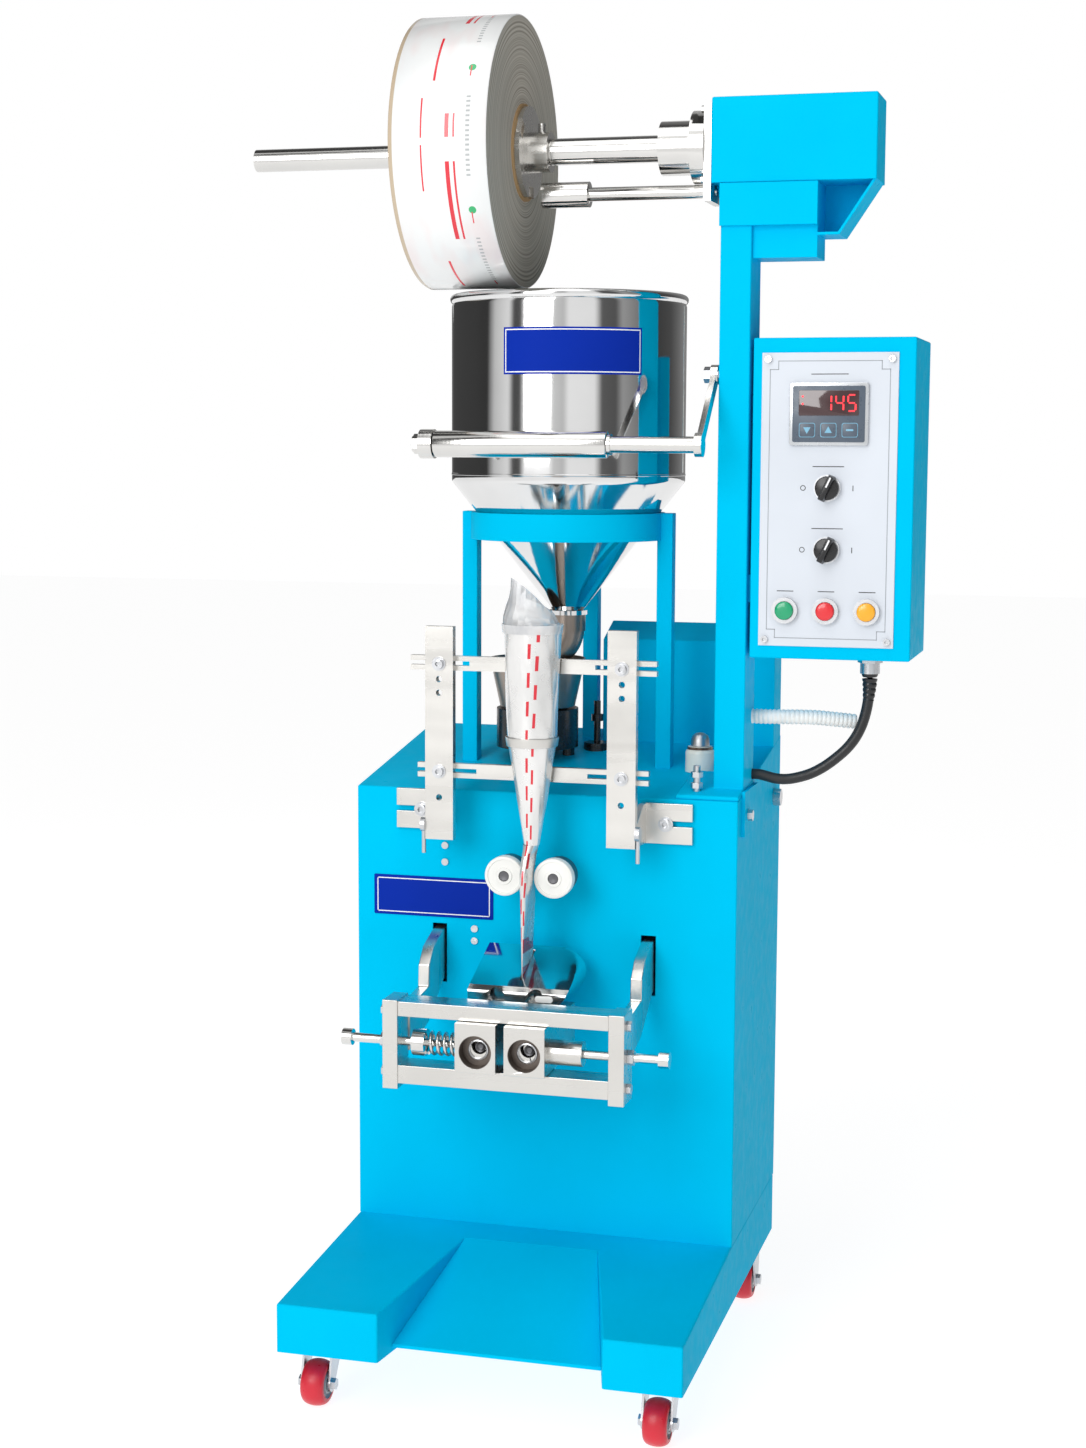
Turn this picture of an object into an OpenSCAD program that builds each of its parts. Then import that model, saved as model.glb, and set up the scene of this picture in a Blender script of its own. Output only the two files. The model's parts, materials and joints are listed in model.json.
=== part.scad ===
// Vertical form fill sealer: a small floor-standing machine that unwinds a film reel, forms the film
// round a tube, fills it from a hopper and seals it between heated jaws.
// Working frame: x = 0 on the cabinet's centre line, y = 0 on its front face, z = 0 on the floor.
// Each sub-part is moved so that the row's origin is the bottom centre of the whole machine.

/* [Cabinet] */
// Width of the cabinet
cabinet_w = 440; // [400:1:530]
// Depth of the cabinet, front face to rear panel
cabinet_d = 274; // [228:1:330]
// Height of the cabinet's front top edge above the floor
cabinet_h = 647; // [540:1:780]
// Rise of the cabinet's top towards the back, in degrees
top_slope = 8.5; // [4:0.5:12]
// Sheet thickness of the cabinet and covers
sheet_t = 2; // [1.5:0.5:3]

/* [Base] */
// Reach of the two feet in front of the cabinet
foot_reach = 261; // [218:1:320]
// Height of the feet's front faces
foot_h = 53; // [44:1:64]
// Rise of the base's top from the feet to the cabinet
base_rise = 16; // [8:1:24]
// Width of the left foot
left_foot_w = 113; // [94:1:136]
// Width of the right foot
right_foot_w = 84; // [74:1:101]
// Depth of the bay's back edge in front of the cabinet
bay_back = 46; // [30:1:60]
// Width of the discharge chute at its top
chute_top_w = 155; // [130:1:180]
// Thickness of the chute plate
chute_t = 4; // [3:0.5:6]

/* [Casters] */
// Diameter of a caster wheel
wheel_d = 50; // [42:1:60]
// Width of a caster wheel
wheel_w = 26; // [22:1:30]
// Gap from the wheel's top to the base
wheel_gap = 25.5; // [22:0.5:32]
// Offset of the wheel's axle in front of the swivel pin
caster_trail = 20; // [14:1:24]
// Side of the square caster plate
caster_plate = 50; // [46:1:60]
// Diameter of the caster's axle and swivel pin
caster_pin_d = 8; // [6:1:10]

/* [Column and head] */
// Width of the rectangular column tube
column_w = 34; // [30:1:42]
// Depth of the column tube
column_d = 60; // [50:1:72]
// Set-back of the column behind the cabinet's front
column_y = 32; // [24:1:40]
// Gap between the hopper's rim and the wound film above it
reel_gap = 4; // [3:1:40]
// Width of the head box
head_w = 178; // [150:1:214]
// Depth of the head box
head_d = 70; // [64:1:84]
// Height of the head box
head_h = 90; // [80:1:108]

/* [Film reel] */
// Diameter of the wound film
reel_d = 296; // [246:1:356]
// Width of the film
film_w = 110; // [92:1:132]
// Outer diameter of the cardboard core
core_d = 106; // [90:1:127]
// Wall of the cardboard core
core_wall = 7; // [5:0.5:9]
// Diameter of the reel shaft
shaft_d = 25; // [20:1:30]
// Free length of the reel shaft beyond the reel
shaft_free = 208; // [170:1:250]
// Gap between the reel's right face and the head box
reel_stand_off = 217; // [200:1:260]
// Height of the shaft above the head box's floor
shaft_rise = 41; // [38:1:46]

/* [Guide roller] */
// Diameter of the film guide roller
guide_d = 29; // [24:1:34]
// Length of the guide roller
guide_len = 194; // [162:1:232]
// Diameter of the guide roller's axle
guide_axle_d = 18; // [14:1:20]
// Height of the arm's pivot above the cabinet's front edge
guide_pivot_h = 463; // [440:1:490]
// Forward offset of the roller from the pivot
guide_reach = 83; // [76:1:92]
// Drop of the roller below the pivot
guide_drop = 76; // [64:1:88]

/* [Hopper] */
// Outside diameter of the hopper's body
hopper_d = 268; // [224:1:290]
// Height of the hopper's straight body
hopper_body_h = 210; // [175:1:252]
// Height of the hopper's cone
hopper_cone_h = 149; // [140:1:170]
// Outside diameter of the hopper's neck
neck_d = 35; // [29:1:42]
// Wall of the hopper
hopper_wall = 1.5; // [1:0.5:3]
// Height of the neck's bottom above the cabinet's front edge
neck_h = 197; // [180:1:230]
// Hopper centre behind the cabinet's front
hopper_y = 125; // [122:1:135]
// Hopper centre left of the machine's centre line
hopper_left = 6; // [0:1:12]
// Height of the stand's ring band
ring_h = 31; // [26:1:37]
// Side of a square stand leg
leg_w = 18; // [15:1:22]

/* [Former] */
// Outside diameter of the forming tube's mouth
former_d = 60; // [50:1:72]
// Length of the forming tube
former_len = 238; // [220:1:260]
// Wall of the forming tube
former_wall = 1.2; // [1:0.1:2]
// Forming tube axis in front of the cabinet
former_y = 62; // [58:1:70]
// Height and spread of the upright bars
upright_h = 236; // [220:1:260]
// Distance between the uprights' centres
upright_span = 206; // [172:1:247]
// Width of an upright bar
upright_w = 32; // [27:1:38]
// Thickness of an upright bar
upright_t = 10; // [8:1:12]
// Height of a slotted arm bar
arm_bar_h = 16; // [13:1:19]

/* [Pull rollers] */
// Diameter of a pull roller
roller_d = 44; // [37:1:50]
// Gap between the two pull rollers
roller_gap = 12; // [10:1:14]
// Diameter of a pull roller's shaft
roller_shaft_d = 16; // [13:1:19]
// Height of the rollers below the cabinet's front edge
roller_drop = 84; // [80:1:96]
// Number of teeth on each feed gear
gear_teeth = 28; // [20:1:34]

/* [Jaws] */
// Width of a jaw block
jaw_w = 45; // [38:1:54]
// Height of a jaw block
jaw_h = 53; // [45:1:64]
// Depth of a jaw block
jaw_depth = 128; // [107:1:140]
// Open gap between the jaws
jaw_gap = 9; // [8:0.5:11]
// Diameter of a jaw's heater bore
heater_bore_d = 36; // [30:1:42]
// Height of the jaw centre below the cabinet's front edge
jaw_drop = 250; // [240:1:290]
// Inside width of the jaw frame
frame_inner_w = 233; // [210:1:280]
// Width of a frame post
post_w = 17; // [14:1:20]
// Depth of a frame post
post_d = 38; // [32:1:45]
// Diameter of a jaw screw
jaw_screw_d = 10; // [8:1:12]

/* [Control box] */
// Width of the control box
control_w = 175; // [160:1:210]
// Height of the control box
control_h = 346; // [330:1:415]
// Depth of the control box
control_d = 140; // [117:1:168]
// Height of the box's underside above the cabinet's front edge
control_rise = 156; // [130:1:187]
// Diameter of a push button's bezel
bezel_d = 28.5; // [26:0.5:32]
// Travel of a push button
button_travel = 4; // [3:0.5:5]

/* [Fits] */
// Radial clearance of a shaft in its bore
running = 0.05; // [0.02:0.01:0.1]
// Gap between parts that slide past each other
slide_gap = 0.3; // [0.2:0.05:0.5]

/* [Hidden] */
$fn = 64;

// Heights and places worked out from the driving dimensions
half_w = cabinet_w / 2;
base_z = wheel_d + wheel_gap;
deck_z = base_z + foot_h + base_rise;
column_x0 = half_w - column_w;
column_mid_y = column_y + column_d / 2;
head_x0 = column_x0 - 11;
head_y0 = column_y - 2;
hopper_r = hopper_d / 2;
neck_z = cabinet_h + neck_h;
cone_top = neck_z + hopper_cone_h;
hopper_top = cone_top + hopper_body_h;
reel_y = column_mid_y;
reel_z = hopper_top + reel_gap + reel_d / 2;
column_top = reel_z - shaft_rise;
reel_x1 = head_x0 - reel_stand_off;
reel_x0 = reel_x1 - film_w;
shaft_x0 = reel_x0 - shaft_free;
control_x0 = half_w + 4;
control_z0 = cabinet_h + control_rise;
panel_x0 = control_x0 + 10;
panel_w = control_w - 28;
panel_z0 = control_z0 + 14;
panel_h = control_h - 30;
roller_z = cabinet_h - roller_drop;
roller_x = (roller_d + roller_gap) / 2;
roller_front = -former_y;
jaw_z = cabinet_h - jaw_drop;
jaw_front = -173;
frame_front = jaw_front + 8;
post_back = frame_front + post_d;
screw_y = frame_front + post_d / 2;
rail_h = 16;
frame_top = jaw_z + jaw_h / 2 + 0.5 + rail_h + 1.5;
frame_bottom = jaw_z - jaw_h / 2 - 0.5 - 20 - 6;
post_x = frame_inner_w / 2;
former_x = 4;
former_top = cabinet_h + 191;
former_bottom = former_top - former_len;
former_waist = former_top - 121;
upright_z0 = cabinet_h - 47;
upright_front = -former_y + 2;
upright_back = upright_front + upright_t;
cone_rate = (hopper_r - neck_d / 2) / hopper_cone_h;
ring_z0 = neck_z + 82;
ring_r = neck_d / 2 + (ring_z0 + ring_h - neck_z) * cone_rate + 0.1;
ring_t = 6;
leg_r = ring_r + leg_w / 2;
pan_x = -hopper_left - ring_r + 66;
pan_y = 140;
pan_z = neck_z - 114;
drum_z = cabinet_h + pan_y * tan(top_slope) + 14;
pivot_y = column_y + 13;
pivot_z = cabinet_h + guide_pivot_h;
guide_y = pivot_y - guide_reach;
guide_z = pivot_z - guide_drop;
guide_x1 = column_x0 - 106;
guide_x0 = guide_x1 - guide_len;
caster_x = half_w - 27;
right_caster_x = half_w - 36;
front_swivel_y = -foot_reach + 51 + caster_trail;
rear_axle_y = cabinet_d - 45;
cam_y = 180;
cam_z = deck_z + 116;
housing_x0 = 12;
housing_y0 = cabinet_d - 49;
mid_x = (shaft_x0 + control_x0 + control_w) / 2;
mid_y = (cabinet_d + sheet_t + 3 - foot_reach) / 2;

paint = [0, 0.70, 0.92];
steel = [0.80, 0.79, 0.77];
chrome = [0.86, 0.87, 0.88];

// The cabinet's top surface at a distance y behind the front face
function top_z(y) = cabinet_h + y * tan(top_slope);
// Outside radius of the forming tube at a height z
function former_r(z) = z > former_waist
    ? former_d / 2 - 4 * (former_top - z) / (former_top - former_waist)
    : 7.5 + (former_d / 2 - 11.5) * (z - former_bottom) / (former_waist - former_bottom);

module place() translate([-mid_x, -mid_y, 0]) children();
module block(a, b) translate(a) cube(b - a);
module rod_x(r, x0, x1, y, z, sides = 64)
    translate([x0, y, z]) rotate([0, 90, 0]) cylinder(r = r, h = x1 - x0, $fn = sides);
module rod_y(r, y0, y1, x, z, sides = 64)
    translate([x, y0, z]) rotate([-90, 0, 0]) cylinder(r = r, h = y1 - y0, $fn = sides);
module rod_z(r, z0, z1, x, y, sides = 64)
    translate([x, y, z0]) cylinder(r = r, h = z1 - z0, $fn = sides);
// An outline drawn in y and z, made thick along x
module side_plate(points, x0, x1)
    translate([x0, 0, 0]) rotate([90, 0, 90]) linear_extrude(x1 - x0) polygon(points);
// An outline drawn in x and z, made thick along y
module front_plate(points, y0, y1)
    translate([0, y1, 0]) rotate([90, 0, 0]) linear_extrude(y1 - y0) polygon(points);
// Everything above the cabinet's sloping top
module above_top(lift = 0)
    side_plate([[-50, top_z(-50) + lift], [cabinet_d + 50, top_z(cabinet_d + 50) + lift],
        [cabinet_d + 50, cabinet_h + 1500], [-50, cabinet_h + 1500]], -half_w - 60, half_w + 60);
// A socket-head screw whose head stands on a face that looks forwards (-y)
module front_screw(r, x, y, z, washer = 0)
    union() {
        difference() {
            rod_y(r, y - r, y, x, z);
            rod_y(r * 0.55, y - r - 1, y - r * 0.4, x, z, 6);
        }
        if (washer > 0) rod_y(r * 1.4, y - washer, y, x, z);
    }
// A hexagon nut on a face that looks along x
module nut_x(r, x0, x1, y, z, hole)
    difference() {
        rod_x(r, x0, x1, y, z, 6);
        rod_x(hole, x0 - 1, x1 + 1, y, z);
    }

// ---------------------------------------------------------------- base and casters
function bay_plan(t) = [[-half_w + t, -foot_reach + t], [-half_w + left_foot_w - t, -foot_reach + t],
    [-chute_top_w / 2 - t, -bay_back + t], [chute_top_w / 2 + t, -bay_back + t],
    [half_w - right_foot_w + t, -foot_reach + t], [half_w - t, -foot_reach + t],
    [half_w - t, cabinet_d - t], [-half_w + t, cabinet_d - t]];
module base_solid(t)
    intersection() {
        translate([0, 0, base_z - 1]) linear_extrude(200) polygon(bay_plan(t));
        side_plate([[-foot_reach, base_z - 2 * (t > 0 ? 1 : 0)], [-foot_reach, base_z + foot_h - t],
            [0, deck_z - t], [cabinet_d, deck_z - t], [cabinet_d, base_z - 2 * (t > 0 ? 1 : 0)]],
            -half_w, half_w);
    }
module caster_pads()
    for (c = [[-caster_x, front_swivel_y], [right_caster_x, front_swivel_y],
            [-caster_x, rear_axle_y], [caster_x, rear_axle_y]])
        translate([c[0] - 25, c[1] - 27, base_z]) cube([50, 54, 4]);
module base_frame() color(paint) place() {
    difference() {
        base_solid(0);
        base_solid(sheet_t);
    }
    caster_pads();
}
module discharge_chute() color(paint) place() {
    // The plate falls from the bay's back edge to a low lip between the feet
    lip_y = -foot_reach + 34;
    lip_z = base_z + 4.5;
    intersection() {
        side_plate([[lip_y, lip_z], [lip_y, lip_z + chute_t], [-bay_back, deck_z - 2.8],
            [-bay_back, deck_z - 2.8 - chute_t]], -half_w, half_w);
        translate([0, 0, base_z]) linear_extrude(100) polygon([
            [-half_w + left_foot_w, -foot_reach], [-chute_top_w / 2, -bay_back],
            [chute_top_w / 2, -bay_back], [half_w - right_foot_w, -foot_reach]]);
    }
}
module caster_top(x, y) {
    difference() {
        block([x - caster_plate / 2, y - caster_plate / 2, base_z - 3.5],
            [x + caster_plate / 2, y + caster_plate / 2, base_z]);
        for (i = [-1, 1], j = [-1, 1])
            rod_z(2.75, base_z - 5, base_z + 1,
                x + i * (caster_plate / 2 - 7), y + j * (caster_plate / 2 - 7));
    }
}
// One fork leg, from the cap down to the axle
module fork_leg(x0, x1, swivel_y, axle_y)
    difference() {
        union() {
            side_plate([[swivel_y - 19, base_z - 8], [swivel_y + 15, base_z - 8],
                [swivel_y + 15, base_z - 14], [axle_y + 9, wheel_d / 2], [axle_y - 9, wheel_d / 2],
                [swivel_y - 19, base_z - 16]], x0, x1);
            rod_x(9, x0, x1, axle_y, wheel_d / 2);
        }
        rod_x(caster_pin_d / 2, x0 - 1, x1 + 1, axle_y, wheel_d / 2);
    }
module fork(x, swivel_y, axle_y) {
    inner = wheel_w / 2 + 1.5;
    for (s = [0, 1]) mirror([s, 0, 0]) translate([(s ? -x : x), 0, 0])
        fork_leg(inner, inner + 2.5, swivel_y, axle_y);
    rod_x(caster_pin_d / 2, x - inner - 2.5, x + inner + 2.5, axle_y, wheel_d / 2);
    rod_x(6.5, x + inner + 2.5, x + inner + 7, axle_y, wheel_d / 2, 6);
    rod_x(6.5, x - inner - 6, x - inner - 2.5, axle_y, wheel_d / 2, 6);
}
module swivel_fork(x) {
    difference() {
        rod_z(19.5, base_z - 8.5, base_z - 4, x, front_swivel_y);
        rod_z(caster_pin_d / 2 + running, base_z - 10, base_z, x, front_swivel_y);
    }
    fork(x, front_swivel_y, front_swivel_y - caster_trail);
}
module caster_mounts() color(chrome) place() {
    for (x = [-caster_x, right_caster_x]) {
        caster_top(x, front_swivel_y);
        rod_z(caster_pin_d / 2, base_z - 10, base_z - 3, x, front_swivel_y);
    }
    for (x = [-caster_x, caster_x]) {
        caster_top(x, rear_axle_y);
        rod_z(19.5, base_z - 8.5, base_z - 3.5, x, rear_axle_y);
        fork(x, rear_axle_y, rear_axle_y);
    }
}
module front_left_fork() color(chrome) place() swivel_fork(-caster_x);
module front_right_fork() color(chrome) place() swivel_fork(right_caster_x);
module wheel(x, y) {
    r = wheel_d / 2;
    h = wheel_w / 2;
    translate([x, y, r]) rotate([0, 90, 0]) rotate_extrude($fn = 96)
        polygon(concat([[caster_pin_d / 2 + running, h], [caster_pin_d / 2 + running, -h]],
            [for (a = [-90:15:90]) [r - 5 + 5 * cos(a), (h - 5) * sign(a) + 5 * sin(a)]]));
}
module front_left_wheel() color("red") place() wheel(-caster_x, front_swivel_y - caster_trail);
module front_right_wheel() color("red") place() wheel(right_caster_x, front_swivel_y - caster_trail);
module rear_left_wheel() color("red") place() wheel(-caster_x, rear_axle_y);
module rear_right_wheel() color("red") place() wheel(caster_x, rear_axle_y);

// ---------------------------------------------------------------- cabinet
module cabinet_solid(t)
    side_plate([[t, deck_z - (t > 0 ? 2 : 0)], [t, top_z(t) - t],
        [cabinet_d + (t > 0 ? 5 : 0), top_z(cabinet_d + (t > 0 ? 5 : 0)) - t],
        [cabinet_d + (t > 0 ? 5 : 0), deck_z - (t > 0 ? 2 : 0)]], -half_w + t, half_w - t);
module cabinet_shell() color(paint) place() {
    arm_x = post_x + 5;
    difference() {
        union() {
            difference() {
                cabinet_solid(0);
                cabinet_solid(sheet_t);
            }
            // Bearing plate behind the front panel
            block([-60, sheet_t, roller_z - 24], [60, sheet_t + 12, roller_z + 24]);
        }
        for (s = [-1, 1]) {
            rod_y(roller_shaft_d / 2 + running, -1, sheet_t + 14, s * roller_x, roller_z);
            block([s * arm_x - 8.5, -1, jaw_z + 28], [s * arm_x + 8.5, sheet_t + 1, jaw_z + 96]);
        }
    }
}
module rear_panel() color(paint) place() {
    z0 = deck_z + 14;
    difference() {
        block([-half_w, cabinet_d, deck_z], [half_w, cabinet_d + sheet_t, top_z(cabinet_d)]);
        for (row = [0:6])
            block([-90, cabinet_d - 1, z0 + 40 + row * 16],
                [90, cabinet_d + sheet_t + 1, z0 + 46 + row * 16]);
    }
    for (x = [-half_w + 14, half_w - 14], z = [z0, top_z(cabinet_d) - 14])
        rod_y(4.5, cabinet_d + sheet_t, cabinet_d + sheet_t + 3, x, z);
}
module housing_solid(t)
    side_plate([[housing_y0 + t, cabinet_h - (t > 0 ? 30 : 0)], [housing_y0 + t, cabinet_h + 156 - t],
        [cabinet_d - t, cabinet_h + 175 - t], [cabinet_d - t, cabinet_h - (t > 0 ? 30 : 0)]],
        housing_x0 + t, half_w - t);
module rear_housing() color(paint) place()
    intersection() {
        difference() {
            housing_solid(0);
            housing_solid(sheet_t);
        }
        above_top(0);
    }

// ---------------------------------------------------------------- column and head
module column() color(paint) place() {
    // Rectangular tube cut to the cabinet's slope
    difference() {
        intersection() {
            block([column_x0, column_y, cabinet_h], [half_w, column_y + column_d, column_top]);
            above_top(5);
        }
        block([column_x0 + 2.5, column_y + 2.5, cabinet_h - 1],
            [half_w - 2.5, column_y + column_d - 2.5, column_top + 1]);
    }
    // Foot plate lying on the top
    difference() {
        side_plate([[2, top_z(2)], [column_y + column_d + 6, top_z(column_y + column_d + 6)],
            [column_y + column_d + 6, top_z(column_y + column_d + 6) + 5], [2, top_z(2) + 5]],
            half_w - 70, half_w);
        rod_z(4.05, cabinet_h - 10, cabinet_h + 40, half_w - 50, 20);
    }
}
module head_bracket() color(paint) place() {
    arm_x1 = column_x0 + 104;
    head_x1 = head_x0 + head_w;
    y1 = column_y + column_d;
    // Box arm beside the column, with a lower step
    block([half_w, column_y, column_top - 46], [arm_x1, y1, column_top]);
    block([half_w, column_y + 6, column_top - 80], [arm_x1, y1, column_top - 46]);
    // Cover plate across the column and the arm
    block([column_x0 - 1, column_y - 4, column_top - 46], [arm_x1 + 1, column_y, column_top - 1]);
    // Tapered shroud behind: back sheet, sloping side and its lip
    front_plate([[head_x0 + 1, column_top], [head_x1 - 1, column_top], [head_x1 - 39, column_top - 57],
        [arm_x1, column_top - 57], [arm_x1, column_top - 80], [column_x0, column_top - 80],
        [column_x0, column_top - 46]], y1, y1 + 2.5);
    front_plate([[head_x1 - 1, column_top], [head_x1 - 39, column_top - 57],
        [arm_x1, column_top - 57], [arm_x1, column_top - 54], [head_x1 - 40.5, column_top - 54],
        [head_x1 - 4.5, column_top]], head_y0 + 4, y1);
    front_plate([[head_x0 + 1, column_top], [column_x0, column_top - 46], [column_x0, column_top - 42],
        [head_x0 + 5, column_top]], column_y + 26, y1);
    // Floor of the head box
    block([head_x0 + sheet_t, head_y0 + sheet_t, column_top],
        [head_x1 - sheet_t, head_y0 + head_d - sheet_t, column_top + 3]);
}
module head_box() color(paint) place() {
    head_x1 = head_x0 + head_w;
    difference() {
        block([head_x0, head_y0, column_top], [head_x1, head_y0 + head_d, column_top + head_h]);
        block([head_x0 + sheet_t, head_y0 + sheet_t, column_top - 1],
            [head_x1 - sheet_t, head_y0 + head_d - sheet_t, column_top + head_h - sheet_t]);
        rod_x(shaft_d / 2 + 6, head_x0 - 1, head_x0 + 5, reel_y, reel_z);
    }
}

// ---------------------------------------------------------------- film reel
module bearing_housing() color(steel) place() {
    difference() {
        union() {
            block([head_x0 - 8, reel_y - 32, reel_z - 60], [head_x0, reel_y + 32, reel_z + 43]);
            rod_x(39, head_x0 - 24, head_x0 - 8, reel_y, reel_z);
            rod_x(29, head_x0 - 60, head_x0 - 24, reel_y, reel_z);
            for (s = [-1, 1], t = [-1, 1])
                rod_x(4, head_x0 - 12, head_x0 - 8, reel_y + s * 25, reel_z + t * 37, 6);
        }
        rod_x(shaft_d / 2 + running, head_x0 - 61, head_x0 + 1, reel_y, reel_z);
        rod_x(4 + running, head_x0 - 9, head_x0 + 1, reel_y, reel_z - 47);
    }
}
module reel_shaft() color(chrome) place() {
    difference() {
        rod_x(shaft_d / 2, shaft_x0, head_x0 + 30, reel_y, reel_z);
        // Groove for the ring that holds the left hub on
        difference() {
            rod_x(shaft_d, reel_x0 - 38, reel_x0 - 35, reel_y, reel_z);
            rod_x(shaft_d / 2 - 1, reel_x0 - 39, reel_x0 - 34, reel_y, reel_z);
        }
    }
    // Spacer sleeve between the hub and the bearing
    rod_x(shaft_d / 2 + 2, reel_x1 + 32, head_x0 - 60.5, reel_y, reel_z);
    // Coupling and motor shaft inside the head box
    rod_x(18, head_x0 + 12, head_x0 + 32, reel_y, reel_z);
    rod_x(6, head_x0 + 32, head_x0 + 48, reel_y, reel_z);
}
module hub(face, dir) {
    bore = shaft_d / 2 + 0.1;
    core_r = core_d / 2 - core_wall;
    difference() {
        union() {
            rod_x(core_r - 0.1, min(face, face - dir * 20), max(face, face - dir * 20), reel_y, reel_z);
            rod_x(core_r + 4, min(face + dir * 2.2, face + dir * 8), max(face + dir * 2.2, face + dir * 8),
                reel_y, reel_z);
            rod_x(core_r - 0.1, min(face, face + dir * 3), max(face, face + dir * 3), reel_y, reel_z);
            rod_x(22, min(face + dir * 8, face + dir * 31), max(face + dir * 8, face + dir * 31),
                reel_y, reel_z);
            rod_z(4, reel_z + 14, reel_z + 31, face + dir * 20, reel_y);
        }
        rod_x(bore, face - 40, face + 40, reel_y, reel_z);
        // Three notches leave ears on the flange
        for (a = [30, 150, 270])
            translate([0, reel_y, reel_z]) rotate([a, 0, 0])
                block([min(face + dir * 2.1, face + dir * 8), core_r - 9, -9],
                    [max(face + dir * 2.1, face + dir * 8), core_r + 9, 9]);
    }
}
module reel_hubs() color(chrome) place() {
    hub(reel_x1, 1);
    hub(reel_x0, -1);
}
module roll_core() color("tan") place()
    difference() {
        rod_x(core_d / 2, reel_x0 - 2, reel_x1 + 2, reel_y, reel_z);
        rod_x(core_d / 2 - core_wall, reel_x0 - 3, reel_x1 + 3, reel_y, reel_z);
    }
module film_roll() color([0.92, 0.93, 0.93]) place()
    difference() {
        rod_x(reel_d / 2, reel_x0, reel_x1, reel_y, reel_z, 128);
        rod_x(core_d / 2 + 0.05, reel_x0 - 1, reel_x1 + 1, reel_y, reel_z);
    }
module tension_rod() color(chrome) place() {
    z = reel_z - 47;
    rod_x(7.5, reel_x1 + 75, head_x0 - 8, reel_y, z);
    rod_x(14, reel_x1 + 22, reel_x1 + 75, reel_y, z);
    rod_x(4, head_x0 - 8, head_x0 + 1, reel_y, z);
}
module unwind_motor() color([0.35, 0.36, 0.38]) place() {
    x = head_x0 + 46;
    difference() {
        union() {
            block([x, reel_y - 27, reel_z - 27], [x + 34, reel_y + 27, reel_z + 27]);
            rod_x(25, x + 34, x + 112, reel_y, reel_z);
        }
        rod_x(6 + running, x - 1, x + 6, reel_y, reel_z);
    }
    block([x, reel_y - 27, column_top + 3], [x + 34, reel_y + 27, reel_z - 27]);
}

// ---------------------------------------------------------------- film guide
module guide_arm() color(chrome) place() {
    x0 = column_x0 - 10;
    x1 = column_x0 - 2;
    lean = atan2(guide_drop, guide_reach);
    reach = norm([guide_reach, guide_drop]);
    difference() {
        union() {
            rod_x(11, x0, x1, pivot_y, pivot_z);
            rod_x(13, x0, x1, guide_y, guide_z);
            translate([0, pivot_y, pivot_z]) rotate([lean, 0, 0])
                block([x0 + 1, 5 - reach, -7.5], [x1 - 1, -8, 7.5]);
        }
        rod_x(6 + running, x0 - 1, x1 + 1, pivot_y, pivot_z);
    }
    // Axle, retaining collars and end nut
    rod_x(guide_axle_d / 2, guide_x0 - 25, x0, guide_y, guide_z);
    rod_x(guide_axle_d / 2 + 2.5, guide_x1 + 0.5, guide_x1 + 4, guide_y, guide_z);
    rod_x(guide_d / 2 + 1.5, guide_x0 - 16, guide_x0 - 0.5, guide_y, guide_z);
    rod_x(guide_axle_d / 2 + 2, guide_x0 - 24, guide_x0 - 16, guide_y, guide_z, 6);
}
module guide_roller() color(chrome) place()
    difference() {
        rod_x(guide_d / 2, guide_x0, guide_x1, guide_y, guide_z);
        rod_x(guide_axle_d / 2 + running, guide_x0 - 1, guide_x1 + 1, guide_y, guide_z);
    }

// ---------------------------------------------------------------- hopper and filling
module hopper() color(chrome) place()
    translate([-hopper_left, hopper_y, 0]) rotate_extrude($fn = 128) {
        r = hopper_r;
        n = neck_d / 2;
        w = hopper_wall;
        polygon([[n - w, neck_z - 12], [n, neck_z - 12], [n, neck_z - 5], [n + 5, neck_z - 5],
            [n + 5, neck_z], [n, neck_z + 0.5], [r, cone_top], [r, hopper_top - 13],
            [r + 2, hopper_top - 13], [r + 2, hopper_top], [r - w, hopper_top], [r - w, cone_top + w * 0.6],
            [n - w, neck_z + w * 0.6]]);
    }
module stand_leg(dx, dy)
    difference() {
        block([dx - leg_w / 2, dy - leg_w / 2, cabinet_h],
            [dx + leg_w / 2, dy + leg_w / 2, ring_z0 + ring_h]);
        block([dx - leg_w / 2 + 2, dy - leg_w / 2 + 2, cabinet_h - 1],
            [dx + leg_w / 2 - 2, dy + leg_w / 2 - 2, ring_z0 + ring_h - 2]);
    }
module hopper_stand() color(paint) place() {
    translate([-hopper_left, hopper_y, ring_z0]) difference() {
        cylinder(r = ring_r + ring_t, h = ring_h, $fn = 96);
        translate([0, 0, -1]) cylinder(r = ring_r, h = ring_h + 2, $fn = 96);
    }
    intersection() {
        difference() {
            for (p = [[-leg_r - 1, 0], [leg_r + 1, 0], [0, leg_r + 1]])
                stand_leg(-hopper_left + p[0], hopper_y + p[1]);
            translate([-hopper_left, hopper_y, ring_z0 - 1]) cylinder(r = ring_r, h = ring_h + 2, $fn = 96);
        }
        above_top(0);
    }
}
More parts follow.
